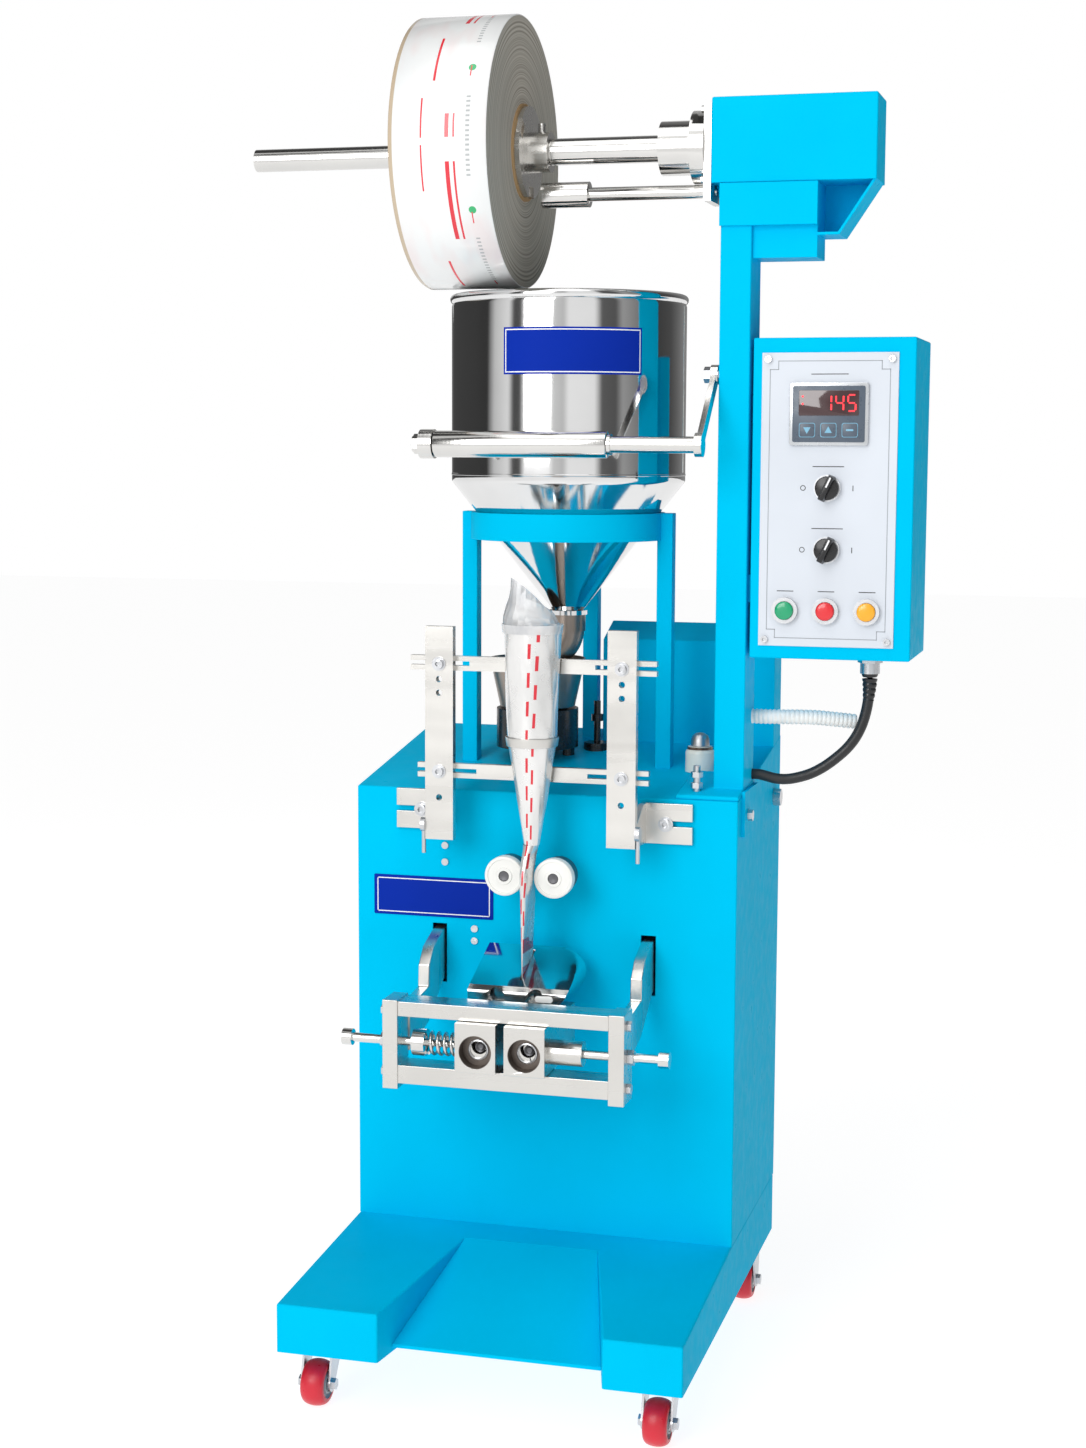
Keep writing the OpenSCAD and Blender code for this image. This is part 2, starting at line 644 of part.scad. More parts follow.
// A bend with a push-on sleeve at each end
module elbow_pipe(radius, sleeve, bend = 28, turn = 52)
    translate([-hopper_left, hopper_y, neck_z - 22]) {
        translate([0, 0, -2]) cylinder(r = sleeve, h = 19);
        translate([-bend, 0, 0]) rotate([-90, 0, 0]) rotate_extrude(angle = turn)
            translate([bend, 0]) circle(r = radius);
        translate([-bend, 0, 0]) rotate([0, turn, 0]) translate([bend, 0, -18])
            cylinder(r = sleeve, h = 20);
    }
module feed_elbow() color([0.62, 0.58, 0.54]) place() {
    r = neck_d / 2 + 1.7;
    difference() {
        elbow_pipe(r, r + 1.4);
        elbow_pipe(r - 1.6, r - 1.2);
        block([-hopper_left - 90, hopper_y - 40, neck_z - 90],
            [-hopper_left + 10, hopper_y + 40, neck_z - 57]);
        translate([-hopper_left, hopper_y, neck_z - 7]) cylinder(r = r - 1.2, h = 5);
    }
}
// The trough's direction and length, from the pan's centre to the forming tube
trough_angle = atan2(-former_y - pan_y, former_x - pan_x);
trough_len = norm([-former_y - pan_y, former_x - pan_x]) - former_d / 2 - 7;
module trough_box(half, y_end, z0, z1)
    translate([pan_x, pan_y, 0]) rotate([0, 0, trough_angle]) block([20, -half, z0], [y_end, half, z1]);
module feeder_pan() color([0.60, 0.56, 0.52]) place() {
    // Open pan with a trough that leads to the forming tube
    difference() {
        union() {
            translate([pan_x, pan_y, pan_z]) cylinder(r1 = 44, r2 = 56, h = 56);
            trough_box(19, trough_len, pan_z + 4, pan_z + 30);
        }
        translate([pan_x, pan_y, pan_z + 1.6]) cylinder(r1 = 42.6, r2 = 54.6, h = 56);
        trough_box(17.4, trough_len + 5, pan_z + 5.6, pan_z + 40);
    }
}
module feeder_base() color([0.07, 0.07, 0.08]) place() {
    translate([pan_x, pan_y, 0]) rod_z(48, drum_z, pan_z - 2.3, 0, 0);
    intersection() {
        for (a = [30, 150, 270])
            rod_z(7, cabinet_h, drum_z, pan_x + 38 * cos(a), pan_y + 38 * sin(a));
        above_top(0);
    }
    for (s = [-1, 1]) rod_z(6, pan_z - 2.5, pan_z - slide_gap, pan_x + s * 30, pan_y);
    // Support spindle with its flange, beside the drum
    intersection() {
        union() {
            rod_z(4, cabinet_h, pan_z + 2, pan_x + 60, pan_y + 50);
            rod_z(16, cabinet_h, top_z(pan_y + 50) + 7, pan_x + 60, pan_y + 50);
            rod_z(7, pan_z - 22, pan_z - 14, pan_x + 60, pan_y + 50);
        }
        above_top(0);
    }
}
module terminal_post() color([0.90, 0.88, 0.80]) place() {
    x = half_w - 66;
    y = 116;
    intersection() {
        rod_z(17, cabinet_h, top_z(y) + 32, x, y);
        above_top(0);
    }
    rod_z(10, top_z(y) + 32, top_z(y) + 38, x, y);
    translate([x, y, top_z(y) + 38]) intersection() {
        translate([0, 0, -7]) sphere(r = 13);
        cylinder(r = 13, h = 8);
    }
}

// ---------------------------------------------------------------- former and film
module former_profile(grow)
    polygon([[0, former_bottom], [former_r(former_bottom) + grow, former_bottom],
        [former_r(former_waist) + grow, former_waist], [former_d / 2 + grow, former_top], [0, former_top]]);
module former_solid(grow, sweep = 360)
    translate([former_x, -former_y, 0]) rotate([0, 0, 270 - sweep / 2])
        rotate_extrude(angle = sweep, $fn = 96) former_profile(grow);
module former_tube() color(chrome) place() {
    difference() {
        former_solid(0);
        former_solid(-former_wall);
        translate([former_x, -former_y, former_bottom - 1])
            cylinder(r = former_r(former_bottom) - former_wall, h = 3);
        translate([former_x, -former_y, former_top - 1])
            cylinder(r = former_d / 2 - former_wall - 0.1, h = 3);
        // Window at the back, where the product enters
        block([former_x - 17, -former_y + 10, pan_z], [former_x + 13, -former_y + 60, pan_z + 34]);
    }
    // Clamping strap over the film, with two rivets
    intersection() {
        difference() {
            former_solid(3.2, 214);
            former_solid(1.9);
        }
        translate([0, 0, former_waist - 8]) linear_extrude(10) square(400, center = true);
    }
}
// A flat strip of film, wide along y
module film_slab(half_t, y0, y1, z, h) block([-half_t, y0, z], [half_t, y1, z + h]);
module film_web() color([0.93, 0.93, 0.92, 0.8]) place() {
    film_y0 = -former_y - 24;
    film_y1 = -former_y + 20;
    // Sleeve round the forming tube, open at the back
    difference() {
        former_solid(1.6, 216);
        former_solid(0.6);
    }
    // The tube flattens between the pull rollers and the jaws
    hull() {
        translate([former_x * 0.6, -former_y, former_bottom - 1]) cylinder(r = 8.6, h = 1, $fn = 32);
        film_slab(roller_gap / 2 - 0.4, film_y0, film_y1, roller_z + 26, 1);
    }
    hull() {
        film_slab(roller_gap / 2 - 0.4, film_y0, film_y1, roller_z + 26, 1);
        film_slab(roller_gap / 2 - 0.4, film_y0, film_y1, roller_z - 26, 1);
    }
    hull() {
        film_slab(roller_gap / 2 - 0.4, film_y0, film_y1, roller_z - 26, 1);
        film_slab(1.1, film_y0, film_y1, jaw_z + 72, 1);
    }
    hull() {
        film_slab(1.1, film_y0, film_y1, jaw_z + 72, 1);
        film_slab(0.3, film_y0, film_y1, jaw_z + jaw_h / 2 + 3, 1);
    }
    film_slab(0.3, film_y0, film_y1, jaw_z - jaw_h / 2 - 10, jaw_h + 13);
    // Folded film above the mouth
    difference() {
        hull() {
            translate([former_x, -former_y, former_top + 1]) cylinder(r = former_d / 2 + 4, h = 5, $fn = 32);
            block([-26, -former_y + 24, former_top + 54], [0, -former_y + 28, former_top + 55]);
        }
        hull() {
            translate([former_x, -former_y, former_top]) cylinder(r = former_d / 2 + 2.8, h = 5, $fn = 32);
            block([-24, -former_y + 25, former_top + 51], [-2, -former_y + 27, former_top + 52]);
        }
    }
}
// A flat bar with an open slot in its outer end
module arm_bar(dir, outer, z)
    difference() {
        block([min(former_x, dir * outer), upright_back, z - arm_bar_h / 2],
            [max(former_x, dir * outer), upright_back + 8, z + arm_bar_h / 2]);
        block([min(dir * (outer - 68), dir * (outer + 1)), upright_back - 1, z - 2.5],
            [max(dir * (outer - 68), dir * (outer + 1)), upright_back + 9, z + 2.5]);
        former_solid(0);
    }
module former_frame() color(steel) place() {
    half = upright_span / 2;
    for (s = [-1, 1])
        difference() {
            block([s * half - upright_w / 2, upright_front, upright_z0],
                [s * half + upright_w / 2, upright_back, upright_z0 + upright_h]);
            for (z = [178, 163, 47])
                rod_y(3.5, upright_front - 1, upright_back + 1, s * half, upright_z0 + z);
        }
    for (s = [-1, 1]) {
        arm_bar(s, half + 36, upright_z0 + 195);
        arm_bar(s, half + 28, upright_z0 + 76);
    }
}
module former_bracket() {
    x0 = upright_span / 2 + upright_w / 2 - 6;
    z0 = upright_z0 - 2;
    difference() {
        block([x0, -6, z0], [x0 + 58, 0, z0 + 45]);
        block([x0 + 28, -7, z0 + 19.5], [x0 + 59, 1, z0 + 25.5]);
    }
    side_plate([[-6, z0], [-6, z0 + 45], [-20, z0 + 45], [upright_back, z0 + 28], [upright_back, z0 + 2]],
        x0, x0 + 6);
}
module former_brackets() color(steel) place() {
    former_bracket();
    mirror([1, 0, 0]) translate([0, 0, 4]) former_bracket();
}

// ---------------------------------------------------------------- pull rollers
module pull_roller(x)
    difference() {
        rod_y(roller_d / 2, roller_front, roller_front + 12, x, roller_z);
        rod_y(6, roller_front - 1, roller_front + 13, x, roller_z);
    }
module gear(teeth, r, phase) {
    pitch = 360 / teeth;
    rotate([0, 0, phase]) linear_extrude(12) polygon([for (i = [0:teeth - 1], c = [[-0.36, -2.3],
        [-0.14, 1.7], [0.14, 1.7], [0.36, -2.3]])
        (r + c[1]) * [cos((i + c[0]) * pitch), sin((i + c[0]) * pitch)]]);
}
module feed_shaft(x, phase) {
    s = roller_shaft_d / 2;
    // Screw through the nylon roller, knurled roller and shaft
    difference() {
        rod_y(5.9, roller_front + 2, roller_front + 12, x, roller_z);
        rod_y(2.5, roller_front + 1, roller_front + 6, x, roller_z, 6);
    }
    rod_y(roller_d / 2 - 2, roller_front + 12, roller_front + 32, x, roller_z);
    rod_y(s, roller_front + 32, sheet_t + 52, x, roller_z);
    translate([x, sheet_t + 22, roller_z]) rotate([-90, 0, 0]) gear(gear_teeth, roller_x, phase);
}
module left_pull_roller() color("white") place() pull_roller(-roller_x);
module right_pull_roller() color("white") place() pull_roller(roller_x);
module left_feed_shaft() color([0.3, 0.3, 0.32]) place() feed_shaft(-roller_x, 0);
module right_feed_shaft() color([0.3, 0.3, 0.32]) place()
    feed_shaft(roller_x, 180 + 180 / gear_teeth);

// ---------------------------------------------------------------- vertical seal unit
module seal_unit() color(chrome) place() {
    z0 = jaw_z + jaw_h / 2 + 7;
    half = 34;
    difference() {
        union() {
            intersection() {
                union() {
                    block([-half - 20, -112, z0], [half, -28, z0 + 60]);
                    rod_y(24, -112, -28, half, z0 + 24);
                }
                side_plate([[-112, z0], [-112, z0 + 16], [-104, z0 + 20], [-28, z0 + 50], [-28, z0]],
                    -90, 90);
            }
            // Mounting feet on the cabinet
            for (s = [-1, 1]) block([s * 30 - 10, -28, z0 + 4], [s * 30 + 10, 0, z0 + 34]);
        }
        // Slot for the film, and two heater bores
        block([-1.6, -92, z0 - 1], [1.6, -36, z0 + 70]);
        for (s = [-1, 1]) rod_y(11, -113, -96, s * 22, z0 + 8);
        translate([0, -70, z0 + 34]) rotate([atan2(30, 76), 0, 0])
            for (a = [35, -35]) rotate([0, 0, a]) block([-30, -4, 0], [30, 4, 30]);
    }
}

// ---------------------------------------------------------------- sealing jaws
module jaw_arms() color(chrome) place() {
    arm_x = post_x + 5;
    for (s = [-1, 1])
        side_plate([[12, jaw_z + 92], [-8, jaw_z + 90], [-42, jaw_z + 78], [-58, jaw_z + 60],
            [-60, jaw_z + 36], [post_back, jaw_z + 28], [post_back, jaw_z - 20], [-60, jaw_z - 4],
            [-6, jaw_z + 32], [12, jaw_z + 34]], s * arm_x - 6.5, s * arm_x + 6.5);
}
module jaw_frame() color(steel) place()
    difference() {
        union() {
            for (s = [-1, 1])
                block([s * (post_x + post_w / 2) - post_w / 2, frame_front, frame_bottom],
                    [s * (post_x + post_w / 2) + post_w / 2, post_back, frame_top]);
            block([-post_x, frame_front + 2, jaw_z + jaw_h / 2 + 0.5],
                [post_x, post_back - 2, jaw_z + jaw_h / 2 + 0.5 + rail_h]);
            block([-post_x, frame_front + 2, jaw_z - jaw_h / 2 - 20.5],
                [post_x, post_back - 2, jaw_z - jaw_h / 2 - 0.5]);
        }
        for (s = [-1, 1])
            rod_x(jaw_screw_d / 2 + running, s * (post_x + post_w / 2) - post_w,
                s * (post_x + post_w / 2) + post_w, screw_y, jaw_z - 4);
    }
module jaw_block(s) {
    x0 = jaw_gap / 2;
    difference() {
        block([min(s * x0, s * (x0 + jaw_w)), jaw_front, jaw_z - jaw_h / 2],
            [max(s * x0, s * (x0 + jaw_w)), jaw_front + jaw_depth, jaw_z + jaw_h / 2]);
        rod_y(heater_bore_d / 2, jaw_front - 1, jaw_front + 14, s * (x0 + jaw_w / 2), jaw_z - 4);
        rod_y(9, jaw_front + 13, jaw_front + 60, s * (x0 + jaw_w / 2) + 1, jaw_z);
    }
    // Clamp screw at the bottom of the bore
    difference() {
        rod_y(7, jaw_front + 20, jaw_front + 60, s * (x0 + jaw_w / 2) + 1, jaw_z);
        rod_y(3.5, jaw_front + 19, jaw_front + 26, s * (x0 + jaw_w / 2) + 1, jaw_z, 6);
    }
}
jaw_side = jaw_gap / 2 + jaw_w;
spring_x0 = -jaw_side - 39.5;
module left_jaw() color(steel) place() jaw_block(-1);
module right_jaw() color(steel) place() {
    jaw_block(1);
    rod_x(13.5, jaw_side, jaw_side + 36, screw_y, jaw_z - 4);
}
module jaw_spring() color(chrome) place() {
    // Round coils, each a closed ring, joined by the spring's own wire line
    turns = 5;
    length = -jaw_side - spring_x0;
    for (i = [0:turns - 1])
        translate([spring_x0 + 2 + i * (length - 4) / (turns - 1), screw_y, jaw_z - 4])
            rotate([0, 90, 0]) rotate_extrude($fn = 48) translate([11.5, 0]) circle(r = 1.8, $fn = 24);
    rod_x(1.2, spring_x0 + 2, -jaw_side - 2, screw_y - 11.5, jaw_z - 4);
}
module left_jaw_screw() color(chrome) place() {
    r = jaw_screw_d / 2;
    outer = -post_x - post_w;
    rod_x(r, outer - 40, spring_x0 - 14, screw_y, jaw_z - 4);
    rod_x(r + 4, outer - 51, outer - 40, screw_y, jaw_z - 4);
    rod_x(14.5, spring_x0 - 14, spring_x0, screw_y, jaw_z - 4);
    rod_x(r - 1, spring_x0, -jaw_side - 5, screw_y, jaw_z - 4);
}
module right_jaw_screw() color(chrome) place() {
    r = jaw_screw_d / 2;
    outer = post_x + post_w;
    rod_x(r, jaw_side + 36.3, outer + 34, screw_y, jaw_z - 4);
    rod_x(r + 4, outer + 34, outer + 45, screw_y, jaw_z - 4);
}

// ---------------------------------------------------------------- control box
selector_x = panel_x0 + panel_w / 2;
selector_z = [panel_z0 + panel_h - 144.5, panel_z0 + panel_h - 211];
button_z = panel_z0 + 39;
button_x = [for (i = [-1, 0, 1]) selector_x + i * 44.5];
controller_w = 85;
controller_h = 67;
controller_z0 = panel_z0 + panel_h - 99;
panel_y = column_y - 2;
module panel_cutouts(y0, y1) {
    for (z = selector_z) rod_y(11.1, y0, y1, selector_x, z);
    for (x = button_x) rod_y(11.1, y0, y1, x, button_z);
    block([selector_x - controller_w / 2 + 4, y0, controller_z0 + 4],
        [selector_x + controller_w / 2 - 4, y1, controller_z0 + controller_h - 4]);
}
module control_box() color(paint) place() {
    difference() {
        block([control_x0, column_y, control_z0],
            [control_x0 + control_w, column_y + control_d, control_z0 + control_h]);
        block([control_x0 + sheet_t, column_y + sheet_t, control_z0 + sheet_t],
            [control_x0 + control_w - sheet_t, column_y + control_d + 1, control_z0 + control_h - sheet_t]);
        block([panel_x0 + 9, column_y - 1, panel_z0 + 14],
            [panel_x0 + panel_w - 9, column_y + 5, panel_z0 + panel_h - 14]);
        rod_z(8, control_z0 - 1, control_z0 + 5, control_x0 + 124, column_y + 68);
    }
    // Back cover
    block([control_x0 + sheet_t, column_y + control_d - sheet_t, control_z0 + sheet_t],
        [control_x0 + control_w - sheet_t, column_y + control_d, control_z0 + control_h - sheet_t]);
    // Two brackets to the column
    for (z = [control_z0 + 60, control_z0 + control_h - 90])
        block([half_w, column_y + 12, z], [control_x0, column_y + 48, z + 30]);
}
module control_panel() color([0.86, 0.88, 0.91]) place()
    difference() {
        block([panel_x0, panel_y, panel_z0], [panel_x0 + panel_w, column_y, panel_z0 + panel_h]);
        panel_cutouts(panel_y - 1, column_y + 1);
    }
module temperature_controller() color([0.25, 0.29, 0.34]) place() {
    block([selector_x - controller_w / 2, panel_y - 4, controller_z0],
        [selector_x + controller_w / 2, panel_y, controller_z0 + controller_h]);
    block([selector_x - controller_w / 2 + 4.5, panel_y, controller_z0 + 4.5],
        [selector_x + controller_w / 2 - 4.5, panel_y + 76, controller_z0 + controller_h - 4.5]);
}
// The fixed body of a button or selector: bezel in front, threaded barrel behind
module switch_body(x, z)
    difference() {
        union() {
            rod_y(bezel_d / 2, panel_y - 6, panel_y, x, z);
            rod_y(11, panel_y, panel_y + 32, x, z);
            rod_y(13, column_y + sheet_t + 0.5, column_y + sheet_t + 5, x, z, 6);
        }
        rod_y(10 + slide_gap, panel_y - 7, panel_y + 7, x, z);
        rod_y(5 + slide_gap, panel_y - 7, panel_y + 33, x, z);
    }
module panel_fittings() color(steel) place() {
    for (z = selector_z) switch_body(selector_x, z);
    for (x = button_x) switch_body(x, button_z);
    for (x = [panel_x0 + 7, panel_x0 + panel_w - 7], z = [panel_z0 + 7, panel_z0 + panel_h - 7])
        front_screw(3.8, x, panel_y, z);
    // Cable gland under the box
    difference() {
        union() {
            rod_z(14, control_z0 - 8, control_z0, control_x0 + 124, column_y + 68, 6);
            rod_z(11, control_z0 - 20, control_z0 - 8, control_x0 + 124, column_y + 68);
            rod_z(8, control_z0, control_z0 + 9, control_x0 + 124, column_y + 68);
        }
        rod_z(6.1, control_z0 - 14, control_z0 + 10, control_x0 + 124, column_y + 68);
    }
}
module push_button(x) {
    rod_y(10, panel_y - 10, panel_y + 7 - button_travel, x, button_z);
    rod_y(5, panel_y + 7 - button_travel, panel_y + 28, x, button_z);
}
module start_button() color([0, 0.6, 0.35]) place() push_button(button_x[0]);
module stop_button() color([0.9, 0.1, 0.12]) place() push_button(button_x[1]);
module heater_button() color([0.98, 0.68, 0.05]) place() push_button(button_x[2]);
module selector_knob(z) {
    rod_y(10, panel_y - 9, panel_y + 5, selector_x, z);
    rod_y(5, panel_y + 5, panel_y + 28, selector_x, z);
    translate([selector_x, 0, z]) rotate([0, 25, 0]) {
        block([-4.5, panel_y - 19, -15], [4.5, panel_y - 9, 15]);
        rod_y(13, panel_y - 11, panel_y - 6.3, 0, 0);
    }
}
module vertical_seal_knob() color([0.05, 0.05, 0.05]) place() selector_knob(selector_z[0]);
module horizontal_seal_knob() color([0.05, 0.05, 0.05]) place() selector_knob(selector_z[1]);

// ---------------------------------------------------------------- cable and conduit
// Route points, in the row's own frame
cable_d = 12;
cable_route = [[328.5, 91, 783], [328.5, 91, 774], [328.2, 91, 764], [326.9, 90.7, 750], [324.2, 90.2, 736],
    [319.9, 89.5, 722.5], [313.4, 88.5, 709.5], [304.6, 87.2, 698], [293.5, 85.6, 687.5], [281, 84, 677.8],
    [267.5, 82.5, 670], [253.5, 81, 665], [240, 79.3, 662.3], [227.5, 77.6, 662.6], [216.5, 76.6, 665.2],
    [208, 76, 667], [200.5, 76, 667]];
conduit_d = 17;
conduit_route = [[200.5, 72, 733], [208.5, 72, 733], [216.5, 72, 733], [224.5, 72.8, 733], [232.5, 74, 733],
    [240.5, 75.8, 733], [248.5, 78, 733], [256.5, 80.8, 732.8], [264.5, 84, 732.5], [272.5, 87.5, 731.9],
    [280.5, 91, 731], [288.5, 94.6, 730], [296.5, 98.1, 729], [304.5, 101.2, 728], [312, 104, 727]];
// Each cord's ends stay on the column and the gland when sizes change
function held(route, from, to) =
    let (n = len(route) - 1, a = from - route[0], b = to - route[n])
    [for (i = [0:n]) route[i] + a * (1 - i / n) + b * i / n];
gland_end = [control_x0 + 124 - mid_x, column_y + 68 - mid_y, control_z0 - 20];
cable_end = [half_w - mid_x, column_y + 53 - mid_y, cabinet_h + 20];
conduit_end = [half_w - mid_x, column_y + 49 - mid_y, cabinet_h + 86];
function unit(v) = v / norm(v);
// Sides of each ring stand square to the route
function ring_points(route, i, r, sides) =
    let (a = route[max(i - 1, 0)], b = route[min(i + 1, len(route) - 1)], along = unit(b - a),
        u = unit(cross(along, [0.1, 1, 0.05])), v = cross(along, u))
    [for (k = [0:sides - 1]) route[i] + r * (cos(360 * k / sides) * u + sin(360 * k / sides) * v)];
module route_tube(route, r, sides = 10) {
    n = len(route);
    polyhedron([for (i = [0:n - 1]) each ring_points(route, i, r, sides)],
        concat([[for (k = [sides - 1:-1:0]) k]],
            [for (i = [0:n - 2], k = [0:sides - 1]) [i * sides + k, i * sides + (k + 1) % sides,
                (i + 1) * sides + (k + 1) % sides, (i + 1) * sides + k]],
            [[for (k = [0:sides - 1]) (n - 1) * sides + k]]));
}
module power_cable() color([0.03, 0.03, 0.03])
    route_tube(held(cable_route, gland_end, cable_end), cable_d / 2);
module conduit() color([0.93, 0.93, 0.92])
    route_tube(held(conduit_route, conduit_end, conduit_end + conduit_route[14] - conduit_route[0]),
        conduit_d / 2);

// ---------------------------------------------------------------- fasteners
module fasteners() color(steel) place() {
    half = upright_span / 2;
    for (s = [-1, 1]) {
        // Bolts that clamp the arm bars to the uprights
        for (z = [195, 76]) front_screw(5.5, s * half, upright_front, upright_z0 + z, 1.5);
        // Bracket bolt, eye tab and pin
        front_screw(6, s * (half + 38), -6, upright_z0 + 20 + (s < 0 ? 4 : 0), 1.5);
        eye_x = s * (half + upright_w / 2 + 2.5);
        rod_x(8, eye_x - 2.5, eye_x + 2.5, upright_front + 3, upright_z0 + 16);
        rod_z(2.4, upright_z0 - 16, upright_z0 + 9, eye_x, upright_front + 3);
        // Frame bolts and lock nuts
        for (z = [frame_top - 14, frame_bottom + 16])
            rod_x(6, s * (post_x + post_w + 2.5) - 2.5, s * (post_x + post_w + 2.5) + 2.5, screw_y - 4, z, 6);
        nut_x(8.5, min(s * (post_x + post_w), s * (post_x + post_w + 7)),
            max(s * (post_x + post_w), s * (post_x + post_w + 7)), screw_y, jaw_z - 4,
            jaw_screw_d / 2 + running);
    }
    // Pivot bolt of the guide arm
    rod_x(6, column_x0 - 11, column_x0, pivot_y, pivot_z);
    rod_x(9, column_x0 - 18, column_x0 - 10.3, pivot_y, pivot_z, 6);
    // Column's side plate and bolts
    block([half_w, column_y - 10, cabinet_h - 42], [half_w + 4, column_y + 70, cabinet_h + 8]);
    rod_x(6.5, half_w + 4, half_w + 10, column_y + 8, cabinet_h - 20, 6);
    rod_x(10, half_w, half_w + 9, cabinet_d - 40, cabinet_h - 28);
    // Levelling stud beside the column
    rod_z(4, top_z(20) + 1, top_z(20) + 33, half_w - 50, 20);
    for (h = [8, 20]) rod_z(7, top_z(20) + h, top_z(20) + h + 6, half_w - 50, 20, 6);
    // Small screws in the cabinet's front
    for (h = [64, 83]) rod_y(4, -2, 0, -115, cabinet_h - h);
    for (h = [158, 172]) rod_y(4, -2, 0, -80, cabinet_h - h);
}

// ---------------------------------------------------------------- drive inside the cabinet
module main_motor() color([0.3, 0.32, 0.34]) place() {
    rod_x(44, -190, -84, cam_y, cam_z);
    difference() {
        block([-84, cam_y - 48, cam_z - 48], [-24, cam_y + 48, cam_z + 48]);
        rod_x(10 + running, -60, -23, cam_y, cam_z);
    }
    block([-84, cam_y - 48, deck_z], [-24, cam_y + 48, cam_z - 48]);
    // Outboard bearing
    difference() {
        block([150, cam_y - 24, deck_z], [170, cam_y + 24, cam_z + 24]);
        rod_x(10 + running, 149, 171, cam_y, cam_z);
    }
}
module camshaft() color([0.5, 0.5, 0.52]) place() {
    rod_x(10, -50, 178, cam_y, cam_z);
    for (x = [20, 90]) {
        rod_x(34, x, x + 14, cam_y + 10, cam_z);
        rod_x(18, x, x + 22, cam_y, cam_z);
    }
}

base_frame();
discharge_chute();
caster_mounts();
front_left_fork();
front_right_fork();
front_left_wheel();
front_right_wheel();
rear_left_wheel();
rear_right_wheel();
cabinet_shell();
rear_panel();
rear_housing();
column();
head_bracket();
head_box();
bearing_housing();
reel_shaft();
reel_hubs();
roll_core();
film_roll();
tension_rod();
unwind_motor();
guide_arm();
guide_roller();
hopper();
hopper_stand();
feed_elbow();
feeder_pan();
feeder_base();
former_tube();
film_web();
former_frame();
former_brackets();
left_pull_roller();
right_pull_roller();
left_feed_shaft();
right_feed_shaft();
seal_unit();
jaw_arms();
jaw_frame();
left_jaw();
right_jaw();
jaw_spring();
left_jaw_screw();
right_jaw_screw();
control_box();
control_panel();
temperature_controller();
panel_fittings();
start_button();
stop_button();
heater_button();
vertical_seal_knob();
horizontal_seal_knob();
power_cable();
conduit();
fasteners();
main_motor();
camshaft();
terminal_post();
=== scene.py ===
"""Looks of the vertical form fill sealer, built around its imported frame. Metres, +Z up."""
import json
import math

import bmesh
import bpy
from mathutils import Matrix, Vector


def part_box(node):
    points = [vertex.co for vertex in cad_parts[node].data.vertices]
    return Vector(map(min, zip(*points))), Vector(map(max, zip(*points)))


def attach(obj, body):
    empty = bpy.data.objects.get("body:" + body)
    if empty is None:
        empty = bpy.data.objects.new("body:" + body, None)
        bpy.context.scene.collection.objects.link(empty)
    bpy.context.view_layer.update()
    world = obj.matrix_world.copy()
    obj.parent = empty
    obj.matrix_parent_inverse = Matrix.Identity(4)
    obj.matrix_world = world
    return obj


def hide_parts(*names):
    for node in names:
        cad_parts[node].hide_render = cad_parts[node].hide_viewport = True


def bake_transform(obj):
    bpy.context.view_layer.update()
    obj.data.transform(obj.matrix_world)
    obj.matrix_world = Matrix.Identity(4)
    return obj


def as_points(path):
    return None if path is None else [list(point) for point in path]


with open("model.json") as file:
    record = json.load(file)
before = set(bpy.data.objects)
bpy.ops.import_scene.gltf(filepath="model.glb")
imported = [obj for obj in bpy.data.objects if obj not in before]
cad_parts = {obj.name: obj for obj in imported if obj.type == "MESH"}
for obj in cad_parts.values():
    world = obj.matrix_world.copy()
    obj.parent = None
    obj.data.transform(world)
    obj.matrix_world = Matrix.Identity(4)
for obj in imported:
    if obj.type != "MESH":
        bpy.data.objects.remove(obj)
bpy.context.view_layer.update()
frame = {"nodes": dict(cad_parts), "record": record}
SCENE = bpy.context.scene
TURN = 2 * math.pi
MM = 0.001


# ---------------- camera
def set_camera():
    data = bpy.data.cameras.new("camera")
    data.sensor_fit = "VERTICAL"
    data.sensor_height = 36
    data.lens = 57.4
    eye = bpy.data.objects.new("camera", data)
    yaw, pitch, roll = (math.radians(a) for a in (15.32, 6.87, 0.25))
    turn = Matrix.Rotation(yaw, 4, "Z") @ Matrix.Rotation(math.pi / 2 - pitch, 4, "X")
    turn = turn @ Matrix.Rotation(roll, 4, "Z")
    eye.matrix_world = Matrix.Translation((0.6531, -2.4676, 1.0324)) @ turn
    SCENE.collection.objects.link(eye)
    SCENE.camera = eye


set_camera()


# ---------------- shader helpers
def new_finish(name, colour, metal=0.0, rough=0.4, **sockets):
    """A Principled material with its constants on the shader's own sockets."""
    mat = bpy.data.materials.new(name)
    mat.use_nodes = True
    shader = mat.node_tree.nodes["Principled BSDF"]
    shader.inputs["Base Color"].default_value = (*colour, 1)
    shader.inputs["Metallic"].default_value = metal
    shader.inputs["Roughness"].default_value = rough
    for key, value in sockets.items():
        shader.inputs[key.replace("_", " ")].default_value = value
    return mat


def node(mat, kind, **settings):
    made = mat.node_tree.nodes.new(kind)
    for key, value in settings.items():
        setattr(made, key, value)
    return made


def link(mat, out, to):
    mat.node_tree.links.new(out, to)


def shader_input(mat, name):
    return mat.node_tree.nodes["Principled BSDF"].inputs[name]


